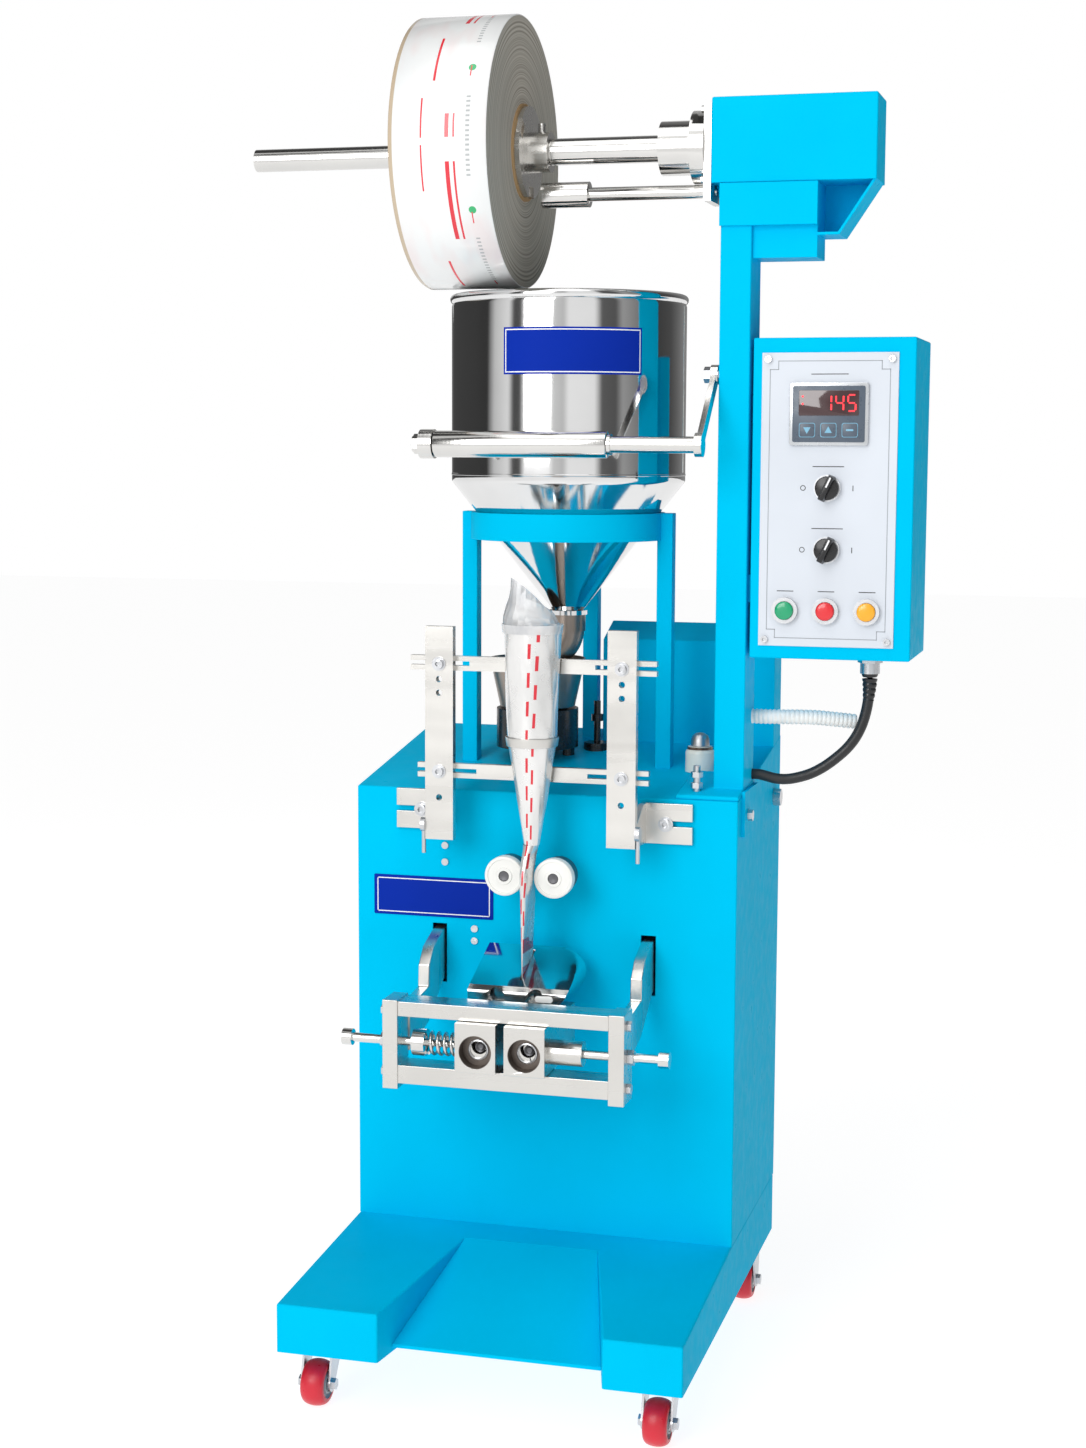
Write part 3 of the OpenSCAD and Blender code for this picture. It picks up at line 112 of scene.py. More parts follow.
def noise(mat, scale, detail=3.0, stretch=(1, 1, 1)):
    """A cloudy pattern on Object coordinates, stretched along the axes."""
    where = node(mat, "ShaderNodeTexCoord")
    mapping = node(mat, "ShaderNodeMapping")
    mapping.inputs["Scale"].default_value = stretch
    link(mat, where.outputs["Object"], mapping.inputs["Vector"])
    texture = node(mat, "ShaderNodeTexNoise")
    texture.inputs["Scale"].default_value = scale
    texture.inputs["Detail"].default_value = detail
    link(mat, mapping.outputs["Vector"], texture.inputs["Vector"])
    return texture.outputs["Fac"]


def spread(mat, value, low, high, start=0.3, end=0.7):
    """Maps a pattern's middle range onto low to high."""
    ranged = node(mat, "ShaderNodeMapRange")
    for key, number in (("From Min", start), ("From Max", end), ("To Min", low), ("To Max", high)):
        ranged.inputs[key].default_value = number
    link(mat, value, ranged.inputs["Value"])
    return ranged.outputs["Result"]


def maths(mat, operation, first, second=None):
    made = node(mat, "ShaderNodeMath", operation=operation)
    for socket, value in zip(made.inputs, (first, second)):
        if value is None:
            continue
        if isinstance(value, (int, float)):
            socket.default_value = value
        else:
            link(mat, value, socket)
    return made.outputs["Value"]


def times(mat, first, second):
    return maths(mat, "MULTIPLY", first, second)


def plus(mat, first, second):
    return maths(mat, "ADD", first, second)


def minus(mat, first, second):
    return maths(mat, "SUBTRACT", first, second)


def below(mat, value, limit):
    """1 where a value is under its limit."""
    return maths(mat, "LESS_THAN", value, limit)


def near(mat, value, centre, half):
    """1 where a value lies within half of its centre."""
    return below(mat, maths(mat, "ABSOLUTE", minus(mat, value, centre)), half)


def dashes(mat, along, period, share, shift=0.0):
    """1 for the first share of each period."""
    phase = maths(mat, "FRACT", plus(mat, maths(mat, "DIVIDE", along, period), shift))
    return below(mat, phase, share)


def distance(mat, across, up):
    return maths(mat, "SQRT", plus(mat, times(mat, across, across), times(mat, up, up)))


def blend_colours(mat, amount, first, second):
    mix = node(mat, "ShaderNodeMix", data_type="RGBA")
    link(mat, amount, mix.inputs["Factor"])
    for name, colour in (("A", first), ("B", second)):
        socket = [s for s in mix.inputs if s.name == name and s.type == "RGBA"][0]
        if isinstance(colour, tuple):
            socket.default_value = (*colour, 1)
        else:
            link(mat, colour, socket)
    return [s for s in mix.outputs if s.type == "RGBA"][0]


def colour_from(mat, amount, first, second):
    link(mat, blend_colours(mat, amount, first, second), shader_input(mat, "Base Color"))


def rough_from(mat, value, low, high):
    link(mat, spread(mat, value, low, high), shader_input(mat, "Roughness"))


def bump_from(mat, height, distance, strength=1.0):
    bump = node(mat, "ShaderNodeBump")
    bump.inputs["Strength"].default_value = strength
    bump.inputs["Distance"].default_value = distance
    link(mat, height, bump.inputs["Height"])
    link(mat, bump.outputs["Normal"], shader_input(mat, "Normal"))


def axis_of(mat, name):
    split = node(mat, "ShaderNodeSeparateXYZ")
    where = node(mat, "ShaderNodeTexCoord")
    link(mat, where.outputs["Object"], split.inputs["Vector"])
    return split.outputs[name]


# ---------------- finishes
def paint_finish(name, colour, rough=0.22):
    """Gloss enamel with orange peel and faint cloudiness."""
    mat = new_finish(name, colour, 0.0, rough, Specular_IOR_Level=0.004)
    clouds = noise(mat, 7, 3)
    deeper = tuple(c * 0.94 for c in colour)
    colour_from(mat, spread(mat, clouds, 0.0, 1.0), deeper, colour)
    peel = noise(mat, 420, 2)
    rough_from(mat, noise(mat, 60, 4), rough * 0.8, rough * 1.35)
    bump_from(mat, peel, 0.00003, 0.3)
    return mat


def metal_finish(name, colour, rough, grain, stretch, marks=0.00004, spots=0.0):
    """Metal whose fine machining or rolling lines run across the stretched axis."""
    mat = new_finish(name, colour, 1.0, rough)
    lines = noise(mat, grain, 3, stretch)
    smudge = noise(mat, 9, 4)
    darker = tuple(c * (0.90 - spots) for c in colour)
    colour_from(mat, spread(mat, smudge, 0.0, 1.0), darker, colour)
    both = plus(mat, times(mat, lines, 0.6), times(mat, smudge, 0.4))
    rough_from(mat, both, rough * 0.7, rough * 1.5)
    bump_from(mat, lines, marks, 0.5)
    return mat


def plastic_finish(name, colour, rough=0.32, grain=900, depth=0.00003, **sockets):
    mat = new_finish(name, colour, 0.0, rough, **sockets)
    lighter = tuple(min(1, c * 1.12 + 0.004) for c in colour)
    colour_from(mat, spread(mat, noise(mat, 22, 3), 0.0, 1.0), colour, lighter)
    rough_from(mat, noise(mat, 120, 3), rough * 0.8, rough * 1.3)
    bump_from(mat, noise(mat, grain, 2), depth, 0.5)
    return mat


def any_of(mat, marks):
    total = marks[0]
    for mark in marks[1:]:
        total = maths(mat, "MAXIMUM", total, mark)
    return total


def print_bars(mat, along, across, low, high):
    """1 where broken red rules are printed: along is the running way, across the film's width."""
    middle = (low + high) / 2
    span = high - low
    # Place and half width in shares of the width, then period, printed share and shift
    rules = [(0.10, 0.021, 0.22, 0.40, 0.0), (0.17, 0.010, 0.22, 0.40, 0.0),
             (-0.06, 0.012, 0.22, 0.28, 0.45), (-0.16, 0.008, 0.22, 0.22, 0.08),
             (0.30, 0.006, 0.11, 0.12, 0.5)]
    printed = []
    for place, half, period, share, shift in rules:
        rule = near(mat, across, middle + place * span, half * span)
        printed.append(times(mat, rule, dashes(mat, along, period, share, shift)))
    return any_of(mat, printed)


def reel_film_finish(axis_y, axis_z, x0, x1):
    """Clear film wound on itself: milky body, printed rules round the rim, layer rings on the faces."""
    mat = new_finish("wound_film", (0.80, 0.82, 0.82), 0.0, 0.14, Coat_Roughness=0.05)
    along = axis_of(mat, "X")
    dy = minus(mat, axis_of(mat, "Y"), axis_y)
    dz = minus(mat, axis_of(mat, "Z"), axis_z)
    radius = distance(mat, dy, dz)
    # Run of the film round the rim, at the reel's outer radius
    angle = times(mat, maths(mat, "ARCTAN2", dz, dy), 0.148)
    rim = maths(mat, "GREATER_THAN", radius, 0.1465)
    bars = times(mat, print_bars(mat, angle, along, x0, x1), rim)
    for gloss in ("Coat Weight", "Specular IOR Level"):
        link(mat, times(mat, rim, 0.5), shader_input(mat, gloss))
    # A column of green dots with a line of fine ticks between them
    pitch = 0.155
    column = (x0 + x1) / 2 + 0.034
    turn = minus(mat, maths(mat, "FRACT", maths(mat, "DIVIDE", angle, pitch)), 0.5)
    around = times(mat, turn, pitch)
    reach = distance(mat, minus(mat, along, column), around)
    dots = times(mat, below(mat, reach, 0.0042), rim)
    ticks = times(mat, near(mat, along, column, 0.0022), dashes(mat, angle, 0.0052, 0.42))
    gap = maths(mat, "GREATER_THAN", maths(mat, "ABSOLUTE", around), 0.034)
    fine = times(mat, ticks, times(mat, gap, rim))
    rings = node(mat, "ShaderNodeTexNoise")
    rings.inputs["Scale"].default_value = 1.0
    rings.inputs["Detail"].default_value = 5
    ring_place = node(mat, "ShaderNodeCombineXYZ")
    link(mat, times(mat, radius, 420), ring_place.inputs["X"])
    link(mat, ring_place.outputs["Vector"], rings.inputs["Vector"])
    face_tone = blend_colours(mat, spread(mat, rings.outputs["Fac"], 0, 1, 0.35, 0.65),
                              (0.26, 0.245, 0.21), (0.58, 0.55, 0.49))
    milky = blend_colours(mat, spread(mat, noise(mat, 5, 3, (1, 1, 0.3)), 0, 1),
                          (0.66, 0.70, 0.71), (0.88, 0.88, 0.87))
    ghost = times(mat, spread(mat, noise(mat, 30, 2, (1, 0.4, 0.4)), 0, 1, 0.55, 0.7), 0.16)
    faint = blend_colours(mat, ghost, milky, (0.80, 0.35, 0.34))
    body = blend_colours(mat, rim, face_tone, faint)
    edge = below(mat, along, x0 + 0.0052)
    tanned = blend_colours(mat, edge, body, (0.52, 0.42, 0.30))
    dotted = blend_colours(mat, dots, tanned, (0.03, 0.45, 0.16))
    lined = blend_colours(mat, times(mat, fine, 0.7), dotted, (0.30, 0.32, 0.33))
    colour_from(mat, bars, lined, (0.72, 0.02, 0.04))
    rough_from(mat, rings.outputs["Fac"], 0.12, 0.34)
    bump_from(mat, rings.outputs["Fac"], 0.0002, 0.5)
    return mat


def web_film_finish():
    """The same film, drawn over the forming tube: silvery, with the rules running down it."""
    mat = new_finish("drawn_film", (0.80, 0.80, 0.79), 0.55, 0.20, Coat_Weight=0.7, Coat_Roughness=0.06)
    down = axis_of(mat, "Z")
    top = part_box("former_tube")[1].z
    # The two columns of rules lean and close up on the way down
    fallen = spread(mat, down, 0.0, 1.0, top - 0.30, top)
    pair_x = plus(mat, times(mat, fallen, 0.014), -0.0195)
    half_apart = plus(mat, times(mat, fallen, 0.0032), 0.0014)
    half_wide = plus(mat, times(mat, fallen, 0.0010), 0.0008)
    off = minus(mat, axis_of(mat, "X"), pair_x)
    bars = []
    for side, shift in (("ADD", 0.0), ("SUBTRACT", 0.42)):
        rule = near(mat, maths(mat, side, off, half_apart), 0.0, half_wide)
        bars.append(times(mat, rule, dashes(mat, down, 0.031, 0.52, shift)))
    creases = noise(mat, 22, 2, (1, 1, 0.22))
    # The colour follows the crease relief of the bump below, darker in its valleys and lighter on its
    # ridges: painted shade in the creases and painted highlight on the folds
    base = blend_colours(mat, spread(mat, creases, 0, 1), (0.66, 0.66, 0.65), (0.90, 0.89, 0.88))
    colour_from(mat, any_of(mat, bars), base, (0.72, 0.02, 0.04))
    rough_from(mat, noise(mat, 90, 3), 0.14, 0.30)
    bump_from(mat, creases, 0.0012, 0.5)
    return mat


def clear_film_finish():
    mat = new_finish("folded_film", (0.84, 0.85, 0.86), 0.25, 0.16, Alpha=0.62, Coat_Weight=0.6)
    creases = noise(mat, 34, 4, (1, 1, 0.5))
    # The colour follows the crease relief of the bump below, darker in its valleys and lighter on its
    # ridges: painted shade in the creases and painted highlight on the folds
    colour_from(mat, spread(mat, creases, 0, 1), (0.62, 0.63, 0.65), (0.95, 0.95, 0.95))
    bump_from(mat, creases, 0.002, 0.8)
    return mat


PAINT = paint_finish("cyan_enamel", (0.0, 0.54, 0.86), 0.34)
PANEL = paint_finish("panel_enamel", (0.70, 0.74, 0.80), 0.35)
PLAQUE = paint_finish("blue_plaque", (0.006, 0.03, 0.36), 0.25)
WHITE_INK = plastic_finish("white_ink", (0.82, 0.83, 0.85), 0.4)
BLACK_INK = plastic_finish("black_ink", (0.012, 0.012, 0.014), 0.45)
MIRROR = metal_finish("mirror_steel", (0.80, 0.80, 0.80), 0.07, 30, (1, 1, 0.05), 0.00008)
NICKEL = (0.70, 0.685, 0.655)
SATIN = metal_finish("satin_nickel", NICKEL, 0.26, 60, (0.08, 1, 1), 0.00006)
SATIN_UP = metal_finish("satin_nickel_upright", NICKEL, 0.26, 60, (1, 1, 0.08), 0.00006)
ZINC = metal_finish("zinc_plate", (0.66, 0.67, 0.69), 0.28, 40, (1, 1, 1), 0.00008, 0.1)
SHAFT = metal_finish("ground_shaft", (0.74, 0.73, 0.71), 0.11, 12, (60, 0.3, 0.3), 0.00003)
DARK = metal_finish("oiled_steel", (0.16, 0.16, 0.17), 0.38, 50, (1, 1, 1), 0.0001)
BROWN = metal_finish("heated_steel", (0.42, 0.35, 0.30), 0.30, 14, (1, 1, 1), 0.0001, 0.3)
BORE = metal_finish("scaled_bore", (0.20, 0.17, 0.15), 0.42, 40, (1, 1, 1), 0.0001, 0.2)
RED = plastic_finish("red_polyurethane", (0.62, 0.012, 0.03), 0.34, 300, 0.0001)
GREY = plastic_finish("grey_hub", (0.33, 0.34, 0.36), 0.4, 300, 0.00008)
NYLON = plastic_finish("white_nylon", (0.80, 0.80, 0.77), 0.42, 260, 0.00008)
CARD = plastic_finish("cardboard", (0.42, 0.27, 0.13), 0.75, 200, 0.0004)
SLATE = plastic_finish("slate_plastic", (0.075, 0.10, 0.135), 0.30, 700, 0.00005)
SILVER = plastic_finish("silver_bezel", (0.55, 0.57, 0.59), 0.28, 500, 0.00003, Metallic=0.75)
DISPLAY = plastic_finish("display_window", (0.035, 0.004, 0.006), 0.08, 900, 0.00001, Coat_Weight=1.0)
DIGITS = plastic_finish("red_digits", (0.75, 0.01, 0.02), 0.4, 900, 0.00001,
                        Emission_Color=(1.0, 0.02, 0.03, 1), Emission_Strength=2.2)
KEY_LINE = plastic_finish("key_outline", (0.18, 0.42, 0.58), 0.4, 900, 0.00001)
BLACK = plastic_finish("black_plastic", (0.012, 0.012, 0.013), 0.24, 500, 0.00005)
GREEN, STOP_RED, AMBER = (
    plastic_finish(name, colour, 0.20, 500, 0.00002, Coat_Weight=0.5) for name, colour in (
        ("green_cap", (0.0, 0.33, 0.14)), ("red_cap", (0.70, 0.012, 0.02)),
        ("amber_cap", (0.92, 0.40, 0.006))))
RUBBER = plastic_finish("cable_sheath", (0.012, 0.012, 0.013), 0.38, 300, 0.00008)
CONDUIT = plastic_finish("conduit_plastic", (0.78, 0.78, 0.76), 0.45, 300, 0.00008)
PORCELAIN = plastic_finish("glazed_porcelain", (0.97, 0.92, 0.80), 0.2, 120, 0.00005, Coat_Weight=0.3)
GLAZE_RING = plastic_finish("brown_glaze", (0.10, 0.045, 0.02), 0.15, 120, 0.00005, Coat_Weight=0.8)
OVAL = plastic_finish("white_plug", (0.82, 0.82, 0.80), 0.35, 300, 0.00005)
FILM = web_film_finish()
FOLDED = clear_film_finish()
reel_low, reel_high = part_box("film_roll")
reel_mid = (reel_low + reel_high) / 2
REEL_FILM = reel_film_finish(reel_mid.y, reel_mid.z, reel_low.x, reel_high.x)


# ---------------- mesh helpers
def finish_piece(name, bm, mats, body, slot, replaces=(), smooth=32):
    """Closes a bmesh into a piece that rides on a body and wears the finishes it is given; the slot is not
    used.
    """
    mesh = bpy.data.meshes.new(name)
    bm.normal_update()
    bm.to_mesh(mesh)
    bm.free()
    for mat in mats if isinstance(mats, (list, tuple)) else [mats]:
        mesh.materials.append(mat)
    mesh.shade_smooth()
    mesh.set_sharp_from_angle(angle=math.radians(smooth))
    piece = bpy.data.objects.new(name, mesh)
    SCENE.collection.objects.link(piece)
    if body:
        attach(piece, body)
    if replaces:
        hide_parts(*replaces)
    return piece


def body_of(name):
    groups = frame["record"]["behaviour"]["bodies"]
    return next(body for body, members in groups.items() if name in members)


def slot_of(name):
    return next(s["material_slot"] for s in frame["record"]["subparts"] if s["node"] == name)


def extent(name):
    """A CAD node's low corner, high corner and middle."""
    low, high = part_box(name)
    return low, high, (low + high) / 2


def soften(bm, edges, offset, segments=2):
    bmesh.ops.bevel(bm, geom=edges, offset=offset, offset_type="OFFSET", segments=segments, profile=0.5,
                    affect="EDGES", clamp_overlap=True, material=-1)


def eased(name, mats, edge, segments=2):
    """A copy of a CAD node, merged, with its sharp corners rounded off."""
    bm = bmesh.new()
    bm.from_mesh(frame["nodes"][name].data)
    bmesh.ops.remove_doubles(bm, verts=bm.verts, dist=2e-6)
    bmesh.ops.dissolve_limit(bm, angle_limit=math.radians(0.6), verts=bm.verts, edges=bm.edges,
                             delimit=set())
    # A rim narrower than two bevels keeps its corners
    sharp = [e for e in bm.edges if e.is_manifold and e.calc_face_angle(0) > math.radians(35)
             and min(2 * f.calc_area() / f.calc_perimeter() for f in e.link_faces) > 2.1 * edge]
    soften(bm, sharp, edge, segments)
    bmesh.ops.recalc_face_normals(bm, faces=bm.faces)
    for face in bm.faces:
        face.material_index = 0
    piece = finish_piece(name + "_shell", bm, mats, body_of(name), slot_of(name), (name,))
    flat = piece.modifiers.new("flat_faces_first", "WEIGHTED_NORMAL")
    flat.mode = "FACE_AREA"
    flat.weight = 100
    flat.keep_sharp = True
    return piece


def sheet(columns, rows, place, finish_at=None):
    """A grid of faces. place gives a point from its column and row, finish_at a face's material."""
    bm = bmesh.new()
    bmesh.ops.create_grid(bm, x_segments=columns, y_segments=rows, size=0.5)
    for face in bm.faces if finish_at else ():
        at = face.calc_center_median()
        face.material_index = finish_at(math.floor((at.x + 0.5) * columns), math.floor((at.y + 0.5) * rows))
    for v in bm.verts:
        v.co = place(round((v.co.x + 0.5) * columns), round((v.co.y + 0.5) * rows))
    return bm


def drawn_out(stations, sides, place, ends=True):
    """A ring drawn out from station to station. place(station, k) gives its k-th corner."""
    bm = bmesh.new()
    ring = bmesh.ops.create_circle(bm, cap_ends=False, segments=sides, radius=1)["verts"]
    corner = {v: k for k, v in enumerate(ring)}
    rims, edges = [bm.edges[:]], bm.edges[:]
    for v, k in corner.items():
        v.co = place(0, k)
    for station in range(1, stations):
        grown = bmesh.ops.extrude_edge_only(bm, edges=edges)["geom"]
        fresh = {}
        for v in (g for g in grown if isinstance(g, bmesh.types.BMVert)):
            fresh[v] = next(corner[e.other_vert(v)] for e in v.link_edges if e.other_vert(v) in corner)
        for v, k in fresh.items():
            v.co = place(station, k)
        corner = fresh
        edges = [g for g in grown if isinstance(g, bmesh.types.BMEdge) and all(v in fresh for v in g.verts)]
    rims.append(edges)
    for rim in rims if ends else rims[1:]:
        bmesh.ops.edgeloop_fill(bm, edges=rim)
    bmesh.ops.recalc_face_normals(bm, faces=bm.faces)
    return bm


def stand(bm, axis, at):
    """Turns a shape made along +Z to lie along an axis, and puts it in place."""
    turns = {"Z": Matrix.Identity(4), "X": Matrix.Rotation(math.pi / 2, 4, "Y"),
             "Y": Matrix.Rotation(-math.pi / 2, 4, "X"), "-Y": Matrix.Rotation(math.pi / 2, 4, "X"),
             "-X": Matrix.Rotation(-math.pi / 2, 4, "Y")}
    bmesh.ops.transform(bm, matrix=Matrix.Translation(at) @ turns[axis], verts=bm.verts)


def mm(*pairs):
    """Pairs of millimetres as metres."""
    return [(a * MM, b * MM) for a, b in pairs]


def turned(profile, axis="Z", at=(0, 0, 0), steps=64, ring=False):
    """Spins (along, radius) points about an axis. ring closes the profile on itself."""
    bm = bmesh.new()
    points = [bm.verts.new((radius, 0, along)) for along, radius in profile]
    edges = [bm.edges.new(pair) for pair in zip(points, points[1:])]
    if ring:
        edges.append(bm.edges.new((points[-1], points[0])))
    bmesh.ops.spin(bm, geom=points + edges, cent=(0, 0, 0), axis=(0, 0, 1), angle=TURN,
                   steps=steps, use_merge=True)
    bmesh.ops.remove_doubles(bm, verts=bm.verts, dist=1e-6)
    bmesh.ops.recalc_face_normals(bm, faces=bm.faces)
    stand(bm, axis, at)
    return bm


def block(low, high, edge=0.4 * MM, segments=2):
    bm = bmesh.new()
    low, high = Vector(low), Vector(high)
    bmesh.ops.create_cube(bm, size=1)
    bmesh.ops.scale(bm, vec=high - low, verts=bm.verts)
    bmesh.ops.translate(bm, vec=(low + high) / 2, verts=bm.verts)
    if edge > 0:
        soften(bm, bm.edges[:], edge, segments)
    return bm


def join(*parts, materials=None):
    """Several bmeshes as one. materials gives each part's material index."""
    whole = bmesh.new()
    for index, part in enumerate(parts):
        mesh = bpy.data.meshes.new("part")
        for face in part.faces:
            face.material_index = materials[index] if materials else face.material_index
        part.to_mesh(mesh)
        part.free()
        whole.from_mesh(mesh)
        bpy.data.meshes.remove(mesh)
    return whole


def plate(points, height, at=(0, 0, 0), axis="Z", edge=0.0):
    """A flat outline given a thickness."""
    bm = bmesh.new()
    face = bm.faces.new([bm.verts.new((x, y, 0)) for x, y in points])
    grown = bmesh.ops.extrude_face_region(bm, geom=[face])
    bmesh.ops.translate(bm, vec=(0, 0, height),
                        verts=[v for v in grown["geom"] if isinstance(v, bmesh.types.BMVert)])
    bmesh.ops.recalc_face_normals(bm, faces=bm.faces)
    if edge > 0:
        soften(bm, bm.edges[:], edge)
    stand(bm, axis, at)
    return bm


def rounded_outline(width, height, corner, steps=5):
    points = []
    for sx, sy, start in ((1, 1, 0), (-1, 1, 90), (-1, -1, 180), (1, -1, 270)):
        for i in range(steps + 1):
            a = math.radians(start + 90 * i / steps)
            points.append((sx * (width / 2 - corner) + corner * math.cos(a),
                           sy * (height / 2 - corner) + corner * math.sin(a)))
    return points


def hex_head(radius, height, axis, at, socket=0.0):
    """A hexagon head with its corners turned off, or a round socket head when socket is set."""
    bm = bmesh.new()
    bmesh.ops.create_cone(bm, cap_ends=True, segments=40 if socket else 6, radius1=radius,
                          radius2=radius, depth=height)
    bmesh.ops.translate(bm, vec=(0, 0, height / 2), verts=bm.verts)
    if socket:
        top = max(bm.faces, key=lambda f: f.calc_center_median().z)
        bmesh.ops.inset_individual(bm, faces=[top], thickness=radius - socket)
        bmesh.ops.translate(bm, vec=(0, 0, -height * 0.6), verts=top.verts)
    soften(bm, [e for e in bm.edges if e.calc_face_angle(0) > 0.6], radius * 0.08)
    stand(bm, axis, at)
    return bm


# ---------------- cords
# The routes repeat the frame's own, in metres
CABLE_ROUTE = [(0.3285, 0.091, 0.783), (0.3285, 0.091, 0.774), (0.3282, 0.091, 0.764),
               (0.3269, 0.0907, 0.750), (0.3242, 0.0902, 0.736), (0.3199, 0.0895, 0.7225),
               (0.3134, 0.0885, 0.7095), (0.3046, 0.0872, 0.698), (0.2935, 0.0856, 0.6875),
               (0.281, 0.084, 0.6778), (0.2675, 0.0825, 0.670), (0.2535, 0.081, 0.665),
               (0.240, 0.0793, 0.6623), (0.2275, 0.0776, 0.6626), (0.2165, 0.0766, 0.6652),
               (0.208, 0.076, 0.667), (0.2005, 0.076, 0.667)]
CONDUIT_ROUTE = [(0.2005, 0.072, 0.733), (0.2085, 0.072, 0.733), (0.2165, 0.072, 0.733),
                 (0.2245, 0.0728, 0.733), (0.2325, 0.074, 0.733), (0.2405, 0.0758, 0.733),
                 (0.2485, 0.078, 0.733), (0.2565, 0.0808, 0.7328), (0.2645, 0.084, 0.7325),
                 (0.2725, 0.0875, 0.7319), (0.2805, 0.091, 0.731), (0.2885, 0.0946, 0.730),
                 (0.2965, 0.0981, 0.729), (0.3045, 0.1012, 0.728), (0.312, 0.104, 0.727)]


def smooth_line(route, step):
    """Points at even steps along a smooth curve through the route's points."""
    dense = []
    for i in range(len(route) - 1):
        p = [Vector(route[max(0, min(len(route) - 1, i + k))]) for k in (-1, 0, 1, 2)]
        for j in range(24):
            t = j / 24
            dense.append(0.5 * (2 * p[1] + (p[2] - p[0]) * t
                                + (2 * p[0] - 5 * p[1] + 4 * p[2] - p[3]) * t * t
                                + (3 * p[1] - p[0] - 3 * p[2] + p[3]) * t ** 3))
    dense.append(Vector(route[-1]))
    length = sum((b - a).length for a, b in zip(dense, dense[1:]))
    count = max(2, round(length / step))
    line, walked, target = [dense[0]], 0.0, length / count
    for a, b in zip(dense, dense[1:]):
        span = (b - a).length
        while walked + span >= target * len(line) - 1e-9 and len(line) < count:
            line.append(a.lerp(b, (target * len(line) - walked) / span))
        walked += span
    line.append(dense[-1])
    return line, length


def hose(line, radius_at, sides=20):
    """A tube along a line, with a radius at each of its points."""
    turns = []
    for i in range(len(line)):
        along = (line[min(i + 1, len(line) - 1)] - line[max(i - 1, 0)]).normalized()
        turns.append(along.to_track_quat("Z", "Y").to_matrix())

    def place(i, k):
        a = TURN * k / sides
        return line[i] + turns[i] @ (radius_at(i) * Vector((math.cos(a), math.sin(a), 0)))

    return drawn_out(len(line), sides, place)


def power_cable():
    line, length = smooth_line(CABLE_ROUTE, 4 * MM)
    cable = finish_piece("power_cable_sheath", hose(line, lambda i: 6 * MM), RUBBER, "root",
                         "black_rubber", ("power_cable",), 60)
    relief_line, _ = smooth_line(CABLE_ROUTE[:6], 2 * MM)
    relief_line = [p for p in relief_line if p.z > CABLE_ROUTE[0][2] - 30 * MM]
    last = len(relief_line) - 1
    ribs = [(9.2 - 2.8 * i / last - (0.9 if i % 3 == 2 else 0)) * MM for i in range(last + 1)]
    relief = finish_piece("cable_strain_relief", hose(relief_line, lambda i: ribs[i], 28), BLACK,
                          "root", "black_rubber", (), 40)
    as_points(line)


def white_conduit():
    line, length = smooth_line(CONDUIT_ROUTE, 1.25 * MM)
    ribs = (8.5, 8.1, 7.4, 8.1)
    tube = hose(line, lambda i: ribs[i % 4] * MM, 28)
    end = max(tube.faces, key=lambda f: f.calc_center_median().x if len(f.verts) == 28 else -1)
    bmesh.ops.inset_individual(tube, faces=[end], thickness=1.2 * MM)
    bmesh.ops.translate(tube, vec=(-4 * MM, -1.6 * MM, 0), verts=end.verts)
    conduit = finish_piece("conduit_hose", tube, CONDUIT, "root", "white_conduit", ("conduit",), 50)
    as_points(line)


power_cable()
white_conduit()


# ---------------- sheet metal and machined frame
# Finish, bevel in millimetres and the nodes that have them
SHEET_METAL = (
    (PAINT, 2.2, ("base_frame",)), (PAINT, 1.6, ("cabinet_shell", "rear_housing")),
    (PAINT, 2.0, ("head_box", "control_box")), (PAINT, 1.8, ("column",)),
    (PAINT, 0.9, ("hopper_stand",)), (PAINT, 0.8, ("discharge_chute",)),
    (PAINT, 0.5, ("rear_panel",)), (PAINT, 1.0, ("head_bracket",)), (PANEL, 0.5, ("control_panel",)))
FRAME_PARTS = (
    (SATIN, 0.7, ("jaw_frame", "former_frame")), (SATIN, 0.6, ("former_brackets",)),
    (SATIN, 0.8, ("left_jaw", "right_jaw")), (SATIN_UP, 1.2, ("jaw_arms",)),
    (MIRROR, 1.0, ("seal_unit",)), ([ZINC, PAINT], 0.5, ("fasteners",)))
MACHINERY = (
    (SHAFT, 0.8, ("bearing_housing",)), (SHAFT, 1.0, ("reel_shaft",)), (SATIN, 0.6, ("reel_hubs",)),
    (SHAFT, 1.2, ("tension_rod",)), (SHAFT, 0.9, ("guide_arm",)),
    (SHAFT, 0.8, ("left_jaw_screw", "right_jaw_screw")),
    (ZINC, 0.5, ("panel_fittings", "caster_mounts", "front_left_fork", "front_right_fork")),
    (BLACK, 0.8, ("feeder_base",)), (BROWN, 0.4, ("feeder_pan",)), (BROWN, 0.3, ("feed_elbow",)),
    (DARK, 0.3, ("left_feed_shaft", "right_feed_shaft")), (DARK, 1.0, ("main_motor",)),
    (DARK, 0.8, ("camshaft",)), (DARK, 1.0, ("unwind_motor",)), (CARD, 0.5, ("roll_core",)),
    (SATIN_UP, 0.25, ("former_tube",)))
shells = {}
for finish, width, names in SHEET_METAL + FRAME_PARTS + MACHINERY:
    for name in names:
        shells[name] = eased(name, finish, width * MM, 3 if width > 1.5 else 2)
for face in shells["fasteners"].data.polygons:
    x, y, z = face.center
    # The column's side plate is painted, the bolts in it are bare
    if 0.199 < x < 0.2048 and 0.012 < y < 0.094 and 0.60 < z < 0.66:
        face.material_index = 1


